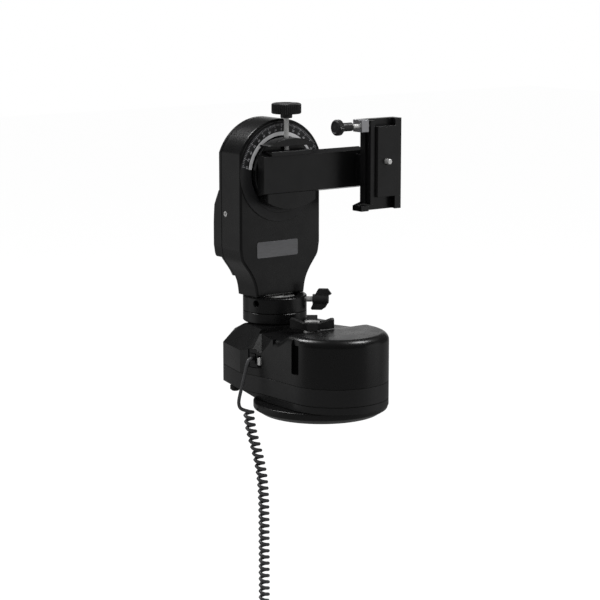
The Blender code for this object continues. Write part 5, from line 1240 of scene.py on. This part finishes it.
def add_mark(bm, inner, outer, width, angle, front):
    """A thin raised bar of ink along a radius."""
    out = Vector((math.cos(angle), 0.0, math.sin(angle)))
    side = Vector((-math.sin(angle), 0.0, math.cos(angle))) * (width / 2.0)
    corners = []
    for y in (front + 0.02, front - 0.06):
        for distance, sign in ((inner, -1.0), (outer, -1.0), (outer, 1.0), (inner, 1.0)):
            corners.append(bm.verts.new(out * distance + side * sign + Vector((0.0, y, 0.0))))
    for quad in ((0, 1, 2, 3), (7, 6, 5, 4), (0, 4, 5, 1), (1, 5, 6, 2), (2, 6, 7, 3), (3, 7, 4, 0)):
        bm.faces.new([corners[k] for k in quad])


def dial_number(text):
    curve = bpy.data.curves.new("number", "FONT")
    curve.body = text
    curve.size = NUMBER_SIZE
    curve.align_x = "CENTER"
    curve.align_y = "CENTER"
    curve.extrude = 0.04
    curve.resolution_u = 2
    obj = add_object("number", curve)
    mesh = final_mesh(obj)
    bpy.data.objects.remove(obj, do_unlink=True)
    weld(mesh)
    return add_object("number", mesh)


def number_place(angle, front):
    """Where a number stands upright on the circle, outside its band."""
    distance = CIRCLE_BAND_RADIUS + 2.3
    place = Matrix.Translation((distance * math.cos(angle), front - 0.02, distance * math.sin(angle)))
    turn = Matrix.Rotation(-(angle - math.pi / 2.0), 4, "Y")
    return DIAL_PLACE @ place @ turn @ Matrix.Rotation(math.pi / 2.0, 4, "X")


# Saddle and bracket

def saddle_disc():
    """The saddle's turned seat, which faces the arm."""
    seat = SADDLE_SEAT_Y
    back = SADDLE_BACK_Y
    radius = SADDLE_RADIUS
    disc = turned([(0.0, seat), (radius - 0.6, seat), (radius, seat + 0.6), (radius, back - 0.3),
                   (radius - 0.3, back), (0.0, back)], LARGE_ROUND)
    return along_y(disc, 0.0, ALTITUDE_Z)


def make_saddle():
    half = SADDLE_HALF_LENGTH
    front = SADDLE_FRONT_Y
    seat = SADDLE_SEAT_Y
    body = saddle_disc()
    lug_foot = ALTITUDE_Z + LUG_FOOT
    lug_top = ALTITUDE_Z + LUG_TOP
    rise = LUG_TOP - LUG_FOOT
    shares = [1.0 - 2.0 * k / 32 for k in range(33)]
    top = [(half * s, lug_foot + rise * (1.0 - s ** 2)) for s in shares]
    lug = [(-half, lug_foot), (half, lug_foot), (half, lug_foot + 2.0)] + top[2:-2]
    lug.append((-half, lug_foot + 2.0))
    join(body, soften(slab(lug, front, seat + 2.0), 0.6, 3, 40.0))
    foot = [(-half * s, ALTITUDE_Z - LOWER_JAW_DEPTH + rise * s ** 2) for s in shares]
    rings = []
    for y, depth in ((front, front), (seat, seat), (seat + 2.0, seat)):
        floor = ALTITUDE_Z - bar_half(depth) - GAP
        rings.append(upright(foot + [(half, floor), (-half, floor)], y))
    join(body, soften(loft(rings), 0.5, 2, 40.0))
    shaft_bore = rod(SHAFT_RADIUS + GAP, SHAFT_FRONT_Y - GAP, SADDLE_BACK_Y + PAST, SHAFT_ROUND)
    cut(body, along_y(shaft_bore, 0.0, ALTITUDE_Z))
    bore = CLAMP_SCREW_RADIUS + GAP
    screw_bore = turned([(0.0, lug_foot - PAST), (bore, lug_foot - PAST), (bore, lug_top - 1.4),
                         (bore + 1.2, lug_top + 0.1), (bore + 1.2, lug_top + PAST), (0.0, lug_top + PAST)],
                        BORE_ROUND)
    cut(body, shift(screw_bore, 0.0, CLAMP_Y, 0.0))
    stand(body, "saddle_body")
    finer(0.5, 2, 32.0, "saddle_jaw")


def knurled(levels, ridges):
    """A turned knob whose wall carries fine upright ridges; each level is radius, height and ridge depth."""
    steps = 4 * ridges
    rings = []
    for radius, z, depth in levels:
        points = []
        for k in range(steps):
            distance = radius - depth * 0.5 * (1.0 - math.cos(math.tau * k / 4.0))
            angle = math.tau * k / steps
            points.append((distance * math.cos(angle), distance * math.sin(angle), z))
        rings.append(points)
    return loft(rings)


def make_clamp_knob():
    bore = CLAMP_SCREW_RADIUS + GAP
    hub = CLAMP_HUB_RADIUS
    foot = CLAMP_HUB_Z
    head = CLAMP_HEAD_Z
    top = CLAMP_TOP_Z
    radius = CLAMP_HEAD_RADIUS
    levels = (
        (bore, head + 4.0 + GAP, 0.0), (bore, foot + 0.4, 0.0), (bore + 0.4, foot, 0.0),
        (hub - 0.5, foot, 0.0), (hub, foot + 0.5, 0.0), (hub, head - 0.4, 0.0), (hub + 0.6, head, 0.0),
        (radius - 1.4, head, 0.3), (radius - 0.5, head + 0.35, 0.8), (radius, head + 1.1, 1.0),
        (radius, top - 1.6, 1.0), (radius - 0.4, top - 0.8, 0.9), (radius - 1.2, top - 0.25, 0.6),
        (radius - 2.2, top, 0.1), (radius - 3.6, top, 0.0), (radius - 4.2, top - 0.5, 0.0),
        (4.5, top - 0.5, 0.0),
    )
    stand(shift(knurled(levels, 44), 0.0, CLAMP_Y, 0.0), "saddle_clamp_knob")


def make_bracket():
    finer(0.5, 2, 32.0, "dovetail_bar", "bracket_upright", "camera_shoe", "shoe_jaw", "shoe_clamp_block")
    finer(0.25, 2, 50.0, "bracket_bolt", "camera_screw")


def make_shoe_clamp_knob():
    start = SHOE_CLAMP_KNOB_X
    end = start + SHOE_CLAMP_KNOB_LENGTH
    hub_end = end + SHOE_CLAMP_HUB_LENGTH
    radius = SHOE_CLAMP_KNOB_RADIUS
    hub = SHOE_CLAMP_HUB_RADIUS
    bore = SHOE_CLAMP_SCREW_RADIUS + GAP
    levels = (
        (radius - 3.0, start + 0.5, 0.0), (radius - 2.4, start, 0.0), (radius - 1.6, start + 0.1, 0.0),
        (radius - 0.5, start + 0.8, 0.4), (radius, start + 1.7, 0.7), (radius, end - 1.1, 0.7),
        (radius - 0.4, end - 0.4, 0.5), (radius - 1.1, end, 0.2), (hub + 0.4, end, 0.0),
        (hub, end + 0.4, 0.0), (hub, hub_end - 0.4, 0.0), (hub - 0.4, hub_end, 0.0),
        (bore, hub_end, 0.0), (bore, end - 3.0 - GAP, 0.0),
    )
    stand(along_x(knurled(levels, 30), SHOE_CLAMP_Y, SHOE_CLAMP_Z), "shoe_clamp_knob")


# Locks on base and collar, and the port

def make_locks():
    finer(0.7, 3, 40.0, "azimuth_lock_knob")
    finer(0.3, 2, 50.0, "azimuth_lock_stud")
    finer(0.6, 3, 40.0, "arm_lock_wing")
    finer(0.3, 2, 50.0, "arm_lock_bolt")


def make_port():
    finer(0.2, 2, 32.0, "handset_socket", "power_switch_body", "power_switch_slider", "cord_near_plug")


def dress_the_rest():
    """Give every CAD node that still shows its own finish."""
    for node, obj in frame["nodes"].items():
        obj.data.materials.clear()
        obj.data.materials.append(THREAD if node == "tripod_thread_insert" else LOOKS[SLOT_OF[node]])


# Stage

def studio_level(graph, direction, levels):
    """Strength by kind of ray: the light given, the room that gloss shows, and the camera's view.

    Gloss shows the pale backdrop around the direction in which it stands, and a dim room elsewhere.
    """
    plain, dim, pale, view = levels
    unit = graph.maths("NORMALIZE", direction, kind=VECTOR_MATHS, result="Vector")
    towards = graph.maths("DOT_PRODUCT", unit, BACKDROP, kind=VECTOR_MATHS)
    room = graph.ramp(towards, dim, pale, *BACKDROP_EDGE)
    room.node.interpolation_type = "SMOOTHSTEP"
    rays = graph.nodes.new("ShaderNodeLightPath").outputs
    seen = graph.maths("MAXIMUM", rays["Is Camera Ray"], rays["Is Transmission Ray"])
    given = graph.mix(rays["Is Glossy Ray"], plain, room, "FLOAT")
    return graph.mix(seen, given, view, "FLOAT")


def make_world():
    """A plain room with a white backdrop."""
    world = bpy.data.worlds.new("studio")
    bpy.context.scene.world = world
    graph = Graph(world)
    background = graph.nodes["Background"]
    direction = graph.nodes.new("ShaderNodeTexCoord").outputs["Generated"]
    graph.feed(background.inputs["Color"], WHITE)
    graph.feed(background.inputs["Strength"], studio_level(graph, direction, WORLD_LEVELS))


def make_floor():
    mesh = bpy.data.meshes.new("floor")
    corners = [(x * FLOOR_HALF, y * FLOOR_HALF, FLOOR_Z) for x, y in ((-1, -1), (1, -1), (1, 1), (-1, 1))]
    mesh.from_pydata(corners, [], [(0, 1, 2, 3)])
    look = Look("floor", FLOOR_COLOUR, 0.9, specular=0.0)
    look.set("Emission Color", WHITE)
    look.set("Emission Strength", studio_level(look, look.place, FLOOR_LEVELS))
    mesh.materials.append(look.material)
    add_object("floor", mesh)


def make_stage():
    bpy.context.scene.view_settings.view_transform = "Standard"
    make_world()
    make_floor()
    for lamp in LAMPS:
        add_area(*lamp)


def add_area(name, place, size, power):
    """A soft lamp that faces the head."""
    data = bpy.data.lights.new(name, "AREA")
    data.shape = "RECTANGLE"
    data.size, data.size_y = size
    data.energy = power
    light = add_object(name, data)
    light.visible_camera = False
    light.location = place
    light.rotation_euler = (Vector(LAMP_TARGET) - Vector(place)).to_track_quat("-Z", "Y").to_euler()


make_camera()
make_cord()
make_flange()
make_base_plates()
make_casing()
make_groove_strips()
make_collar()
make_arm_shell()
make_arm_cover()
make_label()
make_circle()
make_saddle()
make_clamp_knob()
make_bracket()
make_shoe_clamp_knob()
make_locks()
make_port()
dress_the_rest()
make_stage()
